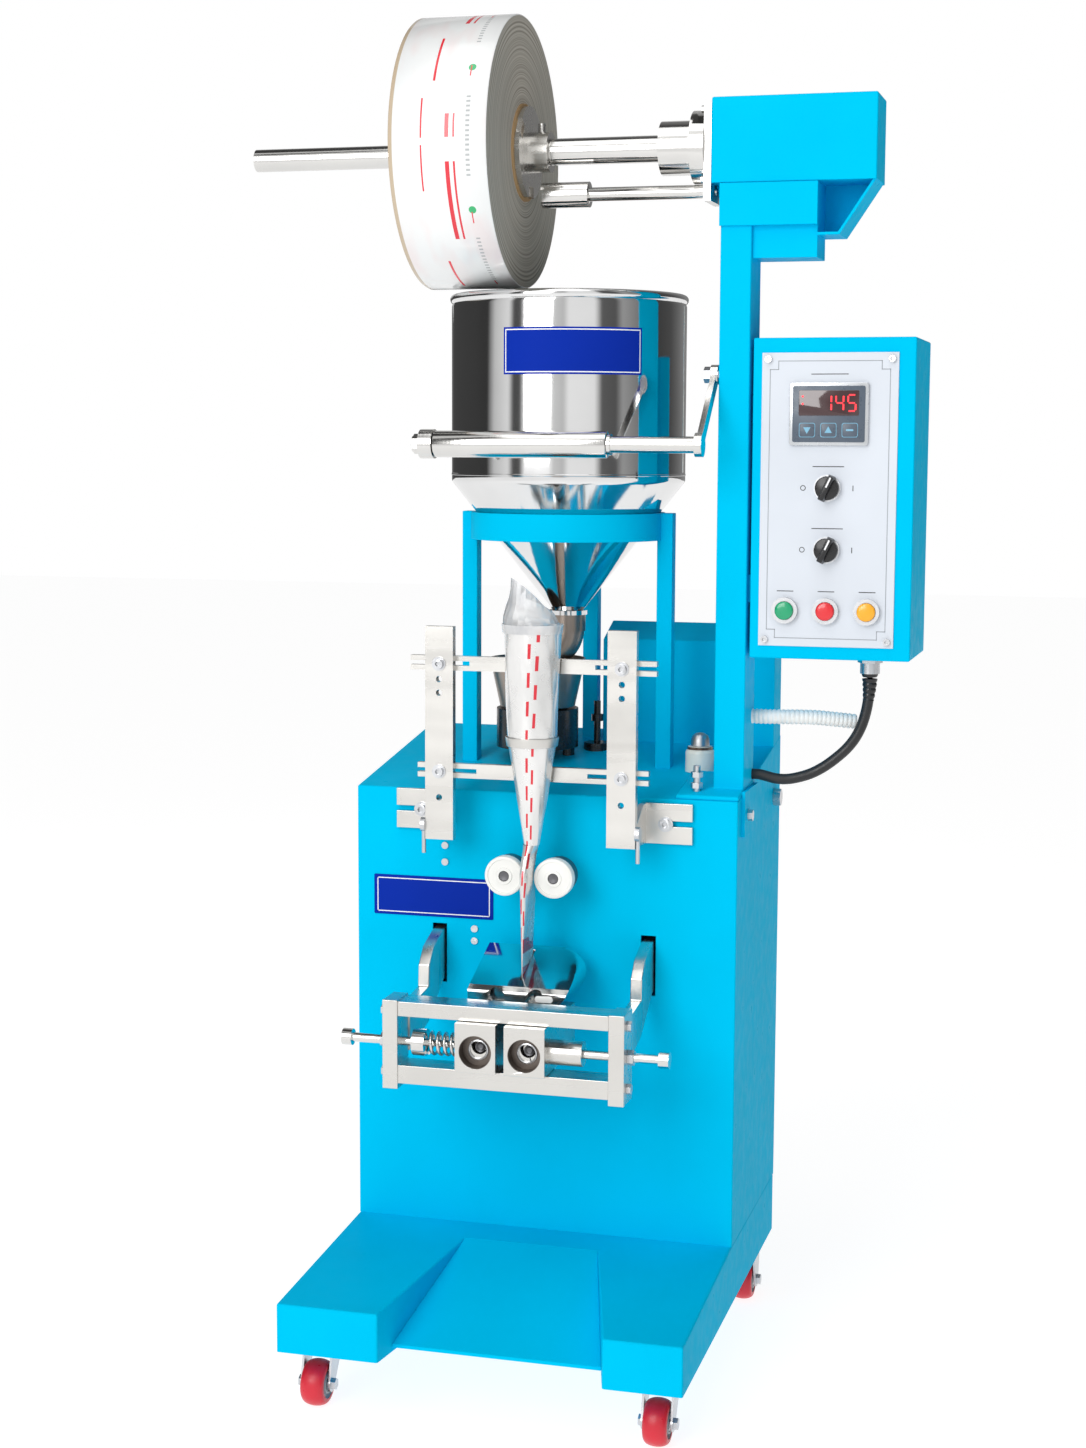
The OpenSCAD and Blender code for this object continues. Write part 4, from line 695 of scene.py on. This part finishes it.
# ---------------- casters
def caster_wheel(name):
    low, high, mid = extent(name)
    r, half = (high.z - low.z) / 2 / MM, (high.x - low.x) / 2 / MM
    inner, race = r * 0.66, half - 0.4
    tread = [(-half * math.cos(a), r - 6 + 6 * math.sin(a)) for a in [math.pi * k / 14 for k in range(15)]]
    tyre = turned(mm((-half, inner), *tread, (half, inner)), "X", mid, 72, ring=True)
    hub = turned(mm((-half + 1, 8), (-half, 9), (-half, 11), (-half + 3, 12), (-half + 3.4, 15),
                    (-half + 0.6, inner), (half - 0.6, inner), (half - 3.4, 15), (half - 3, 12),
                    (half, 11), (half, 9), (half - 1, 8)), "X", mid, 60, ring=True)
    bearing = turned(mm((-race, 4.1), (-race, 7.9), (race, 7.9), (race, 4.1)), "X", mid, 40, ring=True)
    finish_piece(name + "_turned", join(tyre, hub, bearing, materials=(0, 1, 2)), [RED, GREY, ZINC],
                 body_of(name), "red_tyre", (name,), 40)


for wheel in ("front_left_wheel", "front_right_wheel", "rear_left_wheel", "rear_right_wheel"):
    caster_wheel(wheel)


# ---------------- reel and rollers
def wound_reel():
    low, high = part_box("film_roll")
    core_low, core_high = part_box("roll_core")
    mid = (low + high) / 2
    r, bore = (high.z - low.z) / 2, (core_high.z - core_low.z) / 2 + 0.1 * MM
    width = high.x - low.x
    steps = 14
    face = [(0.35 * MM * math.sin(k * 2.1), bore + (r - 2 * MM - bore) * k / steps)
            for k in range(steps + 1)]
    left = [(0.3 * MM + abs(along), radius) for along, radius in face]
    right = [(width - 0.3 * MM - abs(along), radius) for along, radius in reversed(face)]
    rim = [(0.6 * MM, r - 0.9 * MM), (1.8 * MM, r), (width * 0.5, r - 0.25 * MM), (width - 1.8 * MM, r),
           (width - 0.6 * MM, r - 0.9 * MM)]
    film = turned(left + rim + right, "X", (low.x, mid.y, mid.z), 160, ring=True)
    finish_piece("wound_film", film, REEL_FILM, "reel", "clear_film", ("film_roll",), 50)


def guide_roller():
    low, high, mid = extent("guide_roller")
    r, length = (high.z - low.z) / 2, high.x - low.x
    bore = 9.05 * MM
    tube = turned([(0, bore), (0, r - 1.2 * MM), (0.5 * MM, r - 0.3 * MM), (1.6 * MM, r),
                   (length - 1.6 * MM, r), (length - 0.5 * MM, r - 0.3 * MM), (length, r - 1.2 * MM),
                   (length, bore)], "X", (low.x, mid.y, mid.z), 72, ring=True)
    finish_piece("guide_roller_tube", tube, SHAFT, "guide_roller", "bright_shaft", ("guide_roller",))


def pull_roller(name):
    low, high, mid = extent(name)
    r, depth = (high.z - low.z) / 2 / MM, (high.y - low.y) / MM
    roller = turned(mm((0, 6), (0, 9), (1.2, 9.6), (1.2, r - 4), (0, r - 3.4), (0, r - 1.4), (0.5, r - 0.4),
                       (1.5, r), (depth - 1, r), (depth, r - 1), (depth, 6)), "Y",
                    (mid.x, low.y, mid.z), 72, ring=True)
    body = body_of(name)
    finish_piece(name + "_turned", roller, NYLON, body, "white_nylon", (name,), 40)
    screw = hex_head(5.2 * MM, 1.6 * MM, "-Y", (mid.x, low.y + 2 * MM, mid.z), 2.6 * MM)
    finish_piece(name + "_screw", screw, DARK, body, "dark_steel")


wound_reel()
guide_roller()
pull_roller("left_pull_roller")
pull_roller("right_pull_roller")


# ---------------- hopper
def spun_hopper():
    low, high, mid = extent("hopper")
    base = low.z
    r = (high.x - low.x) / 2 - 2 * MM
    wall = 1.5 * MM
    neck = 17.5 * MM
    cone0 = base + 12 * MM
    cone1 = cone0 + 149 * MM
    top = high.z
    bead = [(top - 6 * MM + 5.5 * MM * math.sin(a), r - 3.6 * MM + 5.5 * MM * math.cos(a))
            for a in [math.radians(d) for d in range(-60, 181, 20)]]
    outside = [(base, neck), (base + 7 * MM, neck), (base + 7 * MM, neck + 5 * MM),
               (cone0, neck + 5 * MM), (cone0 + 0.4 * MM, neck + 0.5 * MM), (cone1 - 3 * MM, r - 2.2 * MM),
               (cone1 - 1 * MM, r - 0.5 * MM), (cone1 + 1 * MM, r), (cone1 + 6 * MM, r),
               (cone1 + 6.4 * MM, r + 0.4 * MM), (cone1 + 8 * MM, r + 0.4 * MM), (cone1 + 8.4 * MM, r),
               (top - 14 * MM, r)]
    inside = [(top - 13 * MM, r - wall), (cone1, r - wall), (cone0, neck - wall), (base, neck - wall)]
    shape = turned(outside + bead + inside, "Z", (mid.x, mid.y, 0), 160, ring=True)
    finish_piece("hopper_spun", shape, MIRROR, "root", "mirror_steel", ("hopper",), 38)
    seam = block((mid.x + r - 0.4 * MM, mid.y - 1.2 * MM, cone1 + 10 * MM),
                 (mid.x + r + 0.5 * MM, mid.y + 1.2 * MM, top - 14 * MM), 0.3 * MM)
    finish_piece("hopper_seam_weld", seam, SATIN_UP, "root", "mirror_steel")
    return mid, r


def curved_plaque(mid, r, z0, z1, a0, a1):
    """A thin sign bent round the hopper, blue with a white border."""
    steps = 28
    ends = [0, 0.85, 1.35]
    angles = [a0 + e for e in ends] + [a0 + 3 + (a1 - a0 - 6) * k / (steps - 6) for k in range(steps - 5)]
    angles += [a1 - e for e in reversed(ends)]
    levels = (z0, z0 + 2 * MM, z0 + 3.2 * MM, z1 - 3.2 * MM, z1 - 2 * MM, z1)

    def place(column, row):
        a = math.radians(angles[column])
        out = r + 0.5 * MM
        return (mid.x + out * math.cos(a), mid.y + out * math.sin(a), levels[row])

    def border(column, row):
        inner = 0 < column < steps - 1
        return int(inner and (row in (1, 3) or (column in (1, steps - 2) and row == 2)))

    sign = sheet(steps, 5, place, border)
    bmesh.ops.recalc_face_normals(sign, faces=sign.faces)
    bmesh.ops.solidify(sign, geom=sign.faces[:], thickness=0.8 * MM)
    finish_piece("hopper_plaque", sign, [PLAQUE, WHITE_INK], "root", "cyan_paint")


hopper_mid, hopper_r = spun_hopper()
curved_plaque(hopper_mid, hopper_r, 1.110, 1.161, 252.5, 321)


def cabinet_plaque():
    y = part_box("cabinet_shell")[0].y
    width, height = 0.142, 0.046
    at = (-0.1485, y, 0.523)
    sign = plate(rounded_outline(width, height, 1.5 * MM), 0.9 * MM, at, "-Y", 0.25 * MM)
    rules = []
    for dx, dz, w, h in ((0, 0.0192, 0.134, 0.0011), (0, -0.0192, 0.134, 0.0011),
                         (-0.0665, 0, 0.0011, 0.0395), (0.0665, 0, 0.0011, 0.0395)):
        rules.append(block((at[0] + dx - w / 2, y - 1.15 * MM, at[2] + dz - h / 2),
                           (at[0] + dx + w / 2, y - 0.8 * MM, at[2] + dz + h / 2), 0))
    finish_piece("cabinet_plaque", join(sign, *rules, materials=(0, 1, 1, 1, 1)), [PLAQUE, WHITE_INK],
                 "root", "cyan_paint")


cabinet_plaque()


# ---------------- film over the former
def film_sleeve():
    """The film drawn round the forming tube, then flattened down to the jaws."""
    low, high, mid = extent("former_tube")
    bottom, top = low.z, high.z
    waist = top - 0.121
    rings, count = 26, 44

    def round_tube(k, i):
        z = top - (top - bottom) * i / rings
        share = (top - z) / (top - waist)
        r = 30 - 4 * share if z > waist else 7.5 + 18.5 * (z - bottom) / (waist - bottom)
        a = math.radians(270 - 108 + 216 * k / count)
        crease = 0.35 * math.sin(5 * a + 9 * i / rings) + 0.25 * math.sin(11 * a - 17 * i / rings)
        out = (r + 1.1 + crease * min(1, r / 20)) * MM
        return (mid.x + out * math.cos(a), mid.y + out * math.sin(a), z)

    sleeve = sheet(count, rings, round_tube)
    bmesh.ops.recalc_face_normals(sleeve, faces=sleeve.faces)
    bmesh.ops.solidify(sleeve, geom=sleeve.faces[:], thickness=0.5 * MM)
    # Below the tube: drop, half widths in millimetres, squareness and middle
    jaw_x = -0.0195
    stations = [(0.0, 8.6, 8.6, 1.0, mid.x - 1.6 * MM), (0.012, 7.0, 14.5, 0.75, mid.x - 3 * MM),
                (0.030, 5.4, 20.5, 0.45, jaw_x), (0.066, 4.4, 21.5, 0.4, jaw_x),
                (0.085, 3.2, 21.8, 0.4, jaw_x), (0.110, 2.0, 21.8, 0.5, jaw_x),
                (0.140, 1.1, 21.8, 0.5, jaw_x), (0.172, 0.45, 21.8, 0.6, jaw_x),
                (0.200, 0.35, 21.8, 0.7, jaw_x), (0.236, 0.35, 21.8, 0.7, jaw_x)]
    sides, between = 48, 5

    def flattened(i, k):
        first, second = stations[i // between], stations[i // between + 1]
        t = i % between / between
        drop, rx, ry, power, cx = (a + (b - a) * t for a, b in zip(first, second))
        a = TURN * k / sides
        c, s = math.cos(a), math.sin(a)
        ripple = 1 + 0.10 * math.sin(3 * a + drop * 60) * (1 if drop < 0.15 else 0.2)
        return (cx + rx * MM * ripple * math.copysign(abs(c) ** power, c),
                mid.y - 2 * MM * min(1, drop / 0.03) + ry * MM * s, bottom - drop)

    tube = drawn_out((len(stations) - 1) * between, sides, flattened, ends=False)
    finish_piece("drawn_film", join(sleeve, tube), FILM, "root", "clear_film", ("film_web",), 60)


def folded_film():
    """Loose film that rises from the mouth of the tube to a crumpled peak."""
    low, high, mid = extent("former_tube")
    mid.z = high.z
    columns, levels = 16, 5

    def crumpled(k, i):
        t = i / levels
        a = math.radians(270 - 122 + 244 * k / columns)
        jag = math.sin(12.9 * k + 7.3 * i)
        fold = 1 + 0.07 * jag * min(1, t * 3)
        peak = 0.052 - 0.032 * max(0, (math.cos(a) + 1) / 2) + 0.004 * jag
        mouth = mid + 0.0325 * fold * Vector((math.cos(a), math.sin(a), 0))
        tip = mid + Vector((-0.011 + 0.019 * math.cos(a) * fold, 0.018 + 0.006 * math.sin(a), 0))
        return mouth.lerp(tip, t) + Vector((0, 0, 1 * MM + t * peak))

    bm = sheet(columns, levels, crumpled)
    bmesh.ops.triangulate(bm, faces=bm.faces[:])
    bmesh.ops.recalc_face_normals(bm, faces=bm.faces)
    bmesh.ops.solidify(bm, geom=bm.faces[:], thickness=0.3 * MM)
    finish_piece("folded_film", bm, FOLDED, "root", "clear_film", (), 9)
    ring = turned(mm((-6, 31.4), (-6, 32.4), (2, 33.6), (3.5, 33.6), (3.5, 32.4)), "Z", mid, 72, ring=True)
    finish_piece("film_collar", ring, FOLDED, "root", "clear_film", (), 60)


film_sleeve()
folded_film()


# ---------------- jaws
def jaw_spring():
    """One helix of round wire, closed at its ends, that runs between collar and jaw."""
    low, high, mid = extent("jaw_spring")
    wire, turns = 1.75 * MM, 4.6
    coil_r = 11.5 * MM
    length = high.x - low.x - 2 * wire
    bm = bmesh.new()
    made = bmesh.ops.create_circle(bm, cap_ends=True, segments=14, radius=wire,
                                   matrix=Matrix.Translation((coil_r, 0, 0))
                                   @ Matrix.Rotation(math.pi / 2, 4, "X"))
    steps = 150
    bmesh.ops.spin(bm, geom=made["verts"] + bm.edges[:] + bm.faces[:], cent=(0, 0, 0), axis=(0, 0, 1),
                   angle=TURN * turns, steps=steps, dvec=(0, 0, length / steps), use_merge=False)
    bmesh.ops.remove_doubles(bm, verts=bm.verts, dist=1e-7)
    bmesh.ops.recalc_face_normals(bm, faces=bm.faces)
    stand(bm, "X", (low.x + wire, mid.y, mid.z))
    spring = finish_piece("jaw_spring_coil", bm, SHAFT, None, "bright_shaft", ("jaw_spring",), 60)
    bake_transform(spring)


def heater_end(name, side):
    """Cartridge heater and clamp ring at the bottom of a jaw's bore."""
    low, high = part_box(name)
    x = high.x - 22.5 * MM if side < 0 else low.x + 22.5 * MM
    z = (low.z + high.z) / 2 - 4 * MM
    y = low.y + 13.6 * MM
    liner = turned(mm((-13, 17.95), (-13, 17.5), (0, 17.5), (0, 17.95)), "Y", (x, y, z), 60, ring=True)
    floor = turned(mm((-0.4, 11.5), (-0.4, 17.4), (0.1, 17.4), (0.1, 11.5)), "Y", (x, y, z), 60, ring=True)
    finish_piece(name + "_bore_scale", join(liner, floor), BORE, body_of(name), "satin_steel")
    rim = turned(mm((-2.2, 9.4), (-2.6, 10), (-2.2, 11.2), (0, 11.6), (0, 9.4)), "Y", (x, y, z), 60,
                 ring=True)
    finish_piece(name + "_bore_rim", rim, ZINC, body_of(name), "satin_steel")
    screw = hex_head(5.6 * MM, 4 * MM, "-Y", (x + 1 * MM, y + 7 * MM, z + 2 * MM), 2.8 * MM)
    finish_piece(name + "_clamp_screw", screw, DARK, body_of(name), "satin_steel")


jaw_spring()
heater_end("left_jaw", -1)
heater_end("right_jaw", 1)


def seal_unit_details():
    low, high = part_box("seal_unit")
    at = (high.x - 26 * MM, low.y - 0.05 * MM, low.z + 10 * MM)
    oval = plate(rounded_outline(0.020, 0.007, 3.4 * MM), 0.8 * MM, at, "-Y", 0.3 * MM)
    finish_piece("seal_unit_plug", oval, OVAL, "root", "mirror_steel")


# ---------------- control panel
def panel_face():
    low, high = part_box("control_panel")
    y = low.y
    t = 0.8 * MM
    inset, notch = 9 * MM, 9 * MM
    x0, x1, z0, z1 = low.x + inset, high.x - inset, low.z + inset, high.z - inset
    corners = [(x0 + notch, z0), (x1 - notch, z0), (x1 - notch, z0 + notch), (x1, z0 + notch),
               (x1, z1 - notch), (x1 - notch, z1 - notch), (x1 - notch, z1), (x0 + notch, z1),
               (x0 + notch, z1 - notch), (x0, z1 - notch), (x0, z0 + notch), (x0 + notch, z0 + notch)]
    lines = []
    for (ax, az), (bx, bz) in zip(corners, corners[1:] + corners[:1]):
        lines.append(block((min(ax, bx) - t / 2, y - 0.12 * MM, min(az, bz) - t / 2),
                           (max(ax, bx) + t / 2, y + 0.05 * MM, max(az, bz) + t / 2), 0))
    finish_piece("panel_border", join(*lines), plastic_finish("grey_ink", (0.28, 0.30, 0.33), 0.5), "root",
                 "panel_enamel")


def panel_marks():
    """Off and on marks: a ring and a bar each side of a selector, and a rule over each control."""
    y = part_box("control_panel")[0].y
    marks = []

    def bar(x, z, w, h):
        marks.append(block((x - w / 2, y - 0.1 * MM, z - h / 2), (x + w / 2, y + 0.05 * MM, z + h / 2), 0))

    for knob in ("vertical_seal_knob", "horizontal_seal_knob"):
        low, high, mid = extent(knob)
        marks.append(turned(mm((-0.1, 2.2), (-0.1, 3.0), (0.05, 3.0), (0.05, 2.2)), "Y",
                            (mid.x - 27 * MM, y, mid.z), 32, ring=True))
        bar(mid.x + 27 * MM, mid.z, 0.9 * MM, 6 * MM)
        bar(mid.x, mid.z + 23 * MM, 34 * MM, 0.9 * MM)
    for button in ("start_button", "stop_button", "heater_button"):
        low, high, mid = extent(button)
        bar(mid.x, mid.z + 21 * MM, 18 * MM, 0.9 * MM)
    low, high, mid = extent("temperature_controller")
    bar(mid.x, high.z + 9 * MM, 40 * MM, 0.9 * MM)
    finish_piece("panel_marks", join(*marks), BLACK_INK, "root", "black_plastic")


def lit_digit(x, z, width, height, y, lit):
    """Seven segments, of which the lit ones are made."""
    t = width * 0.16
    across = {"top": z + height, "middle": z + height / 2, "bottom": z}
    parts = []
    for name, level in across.items():
        if name in lit:
            parts.append(block((x + t, y - 0.25 * MM, level - t / 2), (x + width - t, y, level + t / 2),
                               0.15 * MM, 1))
    right, half = x + width - t, height / 2
    for name, left, base in (("upper_left", x, z + half), ("upper_right", right, z + half),
                             ("lower_left", x, z), ("lower_right", right, z)):
        if name in lit:
            parts.append(block((left, y - 0.25 * MM, base + t * 0.7),
                               (left + t, y, base + half - t * 0.7), 0.15 * MM, 1))
    return parts


ONE = ("upper_right", "lower_right")
FOUR = ("upper_left", "middle", "upper_right", "lower_right")
FIVE = ("top", "upper_left", "middle", "lower_right", "bottom")


def temperature_controller():
    low, high, mid = extent("temperature_controller")
    y = low.y
    mid_x = mid.x
    w, h = high.x - low.x, high.z - low.z
    bezel = plate(rounded_outline(w, h, 3 * MM), 4 * MM, (mid_x, y + 4 * MM, mid.z), "-Y", 0.7 * MM)
    front = plate(rounded_outline(w - 7 * MM, h - 7 * MM, 2 * MM), 0.9 * MM, (mid_x, y + 0.2 * MM, mid.z),
                  "-Y", 0.3 * MM)
    window = plate(rounded_outline(w * 0.76, h * 0.40, 1.2 * MM), 0.5 * MM,
                   (mid_x, y - 0.65 * MM, high.z - h * 0.325), "-Y", 0.15 * MM)
    body = block((low.x + 4.5 * MM, y + 4 * MM, low.z + 4.5 * MM),
                 (high.x - 4.5 * MM, high.y, high.z - 4.5 * MM), 1 * MM)
    case = join(bezel, front, window, body, materials=(0, 1, 2, 1))
    finish_piece("controller_case", case, [SILVER, SLATE, DISPLAY], "root", "slate_plastic",
                 ("temperature_controller",))
    digits = []
    digit_w, digit_h = 9.5 * MM, 17 * MM
    for place, lit in enumerate((ONE, FOUR, FIVE)):
        digits += lit_digit(mid_x - 6 * MM + place * 13 * MM, high.z - h * 0.325 - digit_h / 2,
                            digit_w, digit_h, y - 1.15 * MM, lit)
    finish_piece("controller_digits", join(*digits), DIGITS, "root", "red_plastic")
    keys, outlines, arrows = [], [], []
    for place in (-1, 0, 1):
        x, z = mid_x + place * 23 * MM, low.z + h * 0.245
        keys.append(plate(rounded_outline(16 * MM, 14 * MM, 2 * MM), 1.1 * MM, (x, y - 0.6 * MM, z),
                          "-Y", 0.3 * MM))
        outlines.append(plate(rounded_outline(17.4 * MM, 15.4 * MM, 2.4 * MM), 0.25 * MM,
                              (x, y - 0.65 * MM, z), "-Y"))
        s = -1 if place else 1
        mark = [(-4 * MM, s * -3 * MM), (4 * MM, s * -3 * MM), (0, s * 4 * MM)]
        if place == 1:
            mark = rounded_outline(8 * MM, 2 * MM, 0.9 * MM)
        arrows.append(plate(mark, 0.3 * MM, (x, y - 1.7 * MM, z), "-Y"))
    finish_piece("controller_keys", join(*keys), SLATE, "root", "slate_plastic")
    finish_piece("controller_key_lines", join(*outlines, *arrows), KEY_LINE, "root", "slate_plastic")
    lamps = [plate(rounded_outline(2 * MM, 2 * MM, 0.9 * MM), 0.4 * MM,
                   (mid_x - w * 0.33, y - 1.1 * MM, high.z - h * (0.22 + 0.12 * k)), "-Y") for k in (0, 1)]
    finish_piece("controller_lamps", join(*lamps), DIGITS, "root", "red_plastic")


def button_cap(name, mat):
    low, high, mid = extent(name)
    r, depth = (high.x - low.x) / 2 / MM, (high.y - low.y) / MM
    cap = turned(mm((0, 0), (0.15, r * 0.5), (0.5, r * 0.8), (1.0, r - 0.8), (1.8, r - 0.1), (2.6, r),
                    (12.4, r), (12.4, 4.9), (depth, 4.9), (depth, 0)), "Y", (mid.x, low.y, mid.z), 60)
    finish_piece(name + "_cap", cap, mat, body_of(name), slot_of(name), (name,), 40)


def selector(name):
    """A black knob with a raised grip and a white pointer line, set at 25 degrees."""
    low, high, mid = extent(name)
    depth = (high.y - low.y) / MM
    base = turned(mm((8, 0), (8, 11.5), (8.6, 12.6), (10, 13), (12.5, 13), (12.7, 10), (24, 10), (24, 5),
                     (depth, 5), (depth, 0)), "Y", (0, low.y, 0), 60)
    grip = bmesh.new()
    bmesh.ops.create_cube(grip, size=1)
    bmesh.ops.scale(grip, vec=(9 * MM, 10 * MM, 30 * MM), verts=grip.verts)
    for v in grip.verts:
        if v.co.y < 0:
            v.co.x *= 0.62
            v.co.z *= 0.90
    soften(grip, grip.edges[:], 1.3 * MM, 4)
    bmesh.ops.translate(grip, vec=(0, low.y + 5 * MM, 0), verts=grip.verts)
    pointer = block((-0.9 * MM, low.y - 0.15 * MM, 1 * MM), (0.9 * MM, low.y + 0.3 * MM, 12.5 * MM),
                    0.1 * MM, 1)
    knob = join(base, grip, pointer, materials=(0, 0, 1))
    turn = Matrix.Translation((mid.x, 0, mid.z)) @ Matrix.Rotation(math.radians(25), 4, "Y")
    bmesh.ops.transform(knob, matrix=turn, verts=knob.verts)
    finish_piece(name + "_grip", knob, [BLACK, WHITE_INK], body_of(name), "black_plastic", (name,), 40)


panel_face()
panel_marks()
temperature_controller()
seal_unit_details()
for cap, cap_mat in (("start_button", GREEN), ("stop_button", STOP_RED), ("heater_button", AMBER)):
    button_cap(cap, cap_mat)
selector("vertical_seal_knob")
selector("horizontal_seal_knob")


# ---------------- terminal
def terminal_post():
    low, high, mid = extent("terminal_post")
    h = (high.z - low.z) / MM
    foot = (mid.x, mid.y, low.z)
    body = turned(mm((0, 0), (0, 15.5), (1.5, 17), (h - 24, 17), (h - 21, 16.2), (h - 19, 13.6),
                     (h - 16, 13.6), (h - 15, 0)), "Z", foot)
    groove = turned(mm((h - 19.4, 12), (h - 19.4, 15), (h - 16.5, 15), (h - 16.5, 12)), "Z", foot, ring=True)
    dome = turned(mm((h - 15.5, 0), (h - 15.5, 11), (h - 8, 10.4), (h - 4, 9), (h - 1.2, 5.4), (h, 0)),
                  "Z", foot)
    post = join(body, groove, dome, materials=(0, 1, 2))
    finish_piece("terminal_glazed", post, [PORCELAIN, GLAZE_RING, ZINC], "root", "porcelain",
                 ("terminal_post",), 40)


terminal_post()


# ---------------- studio
def studio():
    floor = bpy.data.meshes.new("floor")
    bm = bmesh.new()
    bmesh.ops.create_grid(bm, x_segments=2, y_segments=2, size=14)
    bm.to_mesh(floor)
    bm.free()
    pale = new_finish("pale_floor", (0.30, 0.30, 0.30), 0.0, 0.8, Emission_Color=(1, 1, 1, 1),
                      Emission_Strength=0.88, Specular_IOR_Level=0.0)
    floor.materials.append(pale)
    ground = bpy.data.objects.new("floor", floor)
    SCENE.collection.objects.link(ground)
    world = bpy.data.worlds.new("studio")
    SCENE.world = world
    world.use_nodes = True
    split = node(world, "ShaderNodeSeparateXYZ")
    link(world, node(world, "ShaderNodeTexCoord").outputs["Generated"], split.inputs["Vector"])
    around = maths(world, "ARCTAN2", split.outputs["Y"], split.outputs["X"])
    bands = node(world, "ShaderNodeValToRGB")
    link(world, spread(world, around, 0.0, 1.0, -math.pi, math.pi), bands.inputs["Fac"])
    # Pale screens and dark gaps around the object, as polished metal mirrors them
    stops = [(0.0, 0.05), (0.05, 0.04), (0.075, 0.6), (0.12, 0.85), (0.135, 0.08), (0.155, 0.08),
             (0.17, 1.0), (0.24, 1.0), (0.25, 0.7), (0.275, 0.6), (0.29, 0.95), (0.36, 0.9),
             (0.38, 0.12), (0.42, 0.10), (0.44, 0.35), (0.49, 0.22), (0.55, 0.05), (0.62, 0.08),
             (0.72, 0.25), (0.80, 0.2), (0.86, 0.06), (1.0, 0.05)]
    ramp = bands.color_ramp
    while len(ramp.elements) < len(stops):
        ramp.elements.new(0.5)
    for element, (place, tone) in zip(ramp.elements, stops):
        element.position = place
        element.color = (tone, tone, tone, 1)
    seen = node(world, "ShaderNodeLightPath").outputs["Is Camera Ray"]
    back = world.node_tree.nodes["Background"]
    link(world, blend_colours(world, seen, bands.outputs["Color"], (1.0, 1.0, 1.0)), back.inputs["Color"])


def soft_light(name, place, target, size, watts):
    data = bpy.data.lights.new(name, "AREA")
    data.shape = "RECTANGLE"
    data.size, data.size_y = size
    data.energy = watts
    lamp = bpy.data.objects.new(name, data)
    lamp.location = place
    lamp.rotation_euler = (Vector(target) - Vector(place)).to_track_quat("-Z", "Y").to_euler()
    SCENE.collection.objects.link(lamp)


studio()
SCENE.view_settings.view_transform = "Standard"
soft_light("key_light", (-1.0, -3.4, 2.2), (0, 0, 0.8), (1.8, 2.4), 62)
soft_light("top_light", (0.0, -0.8, 3.6), (0, 0, 0.6), (2.0, 2.0), 16)
soft_light("back_light", (-1.2, 3.0, 2.4), (0, 0, 0.9), (2.0, 2.0), 5)
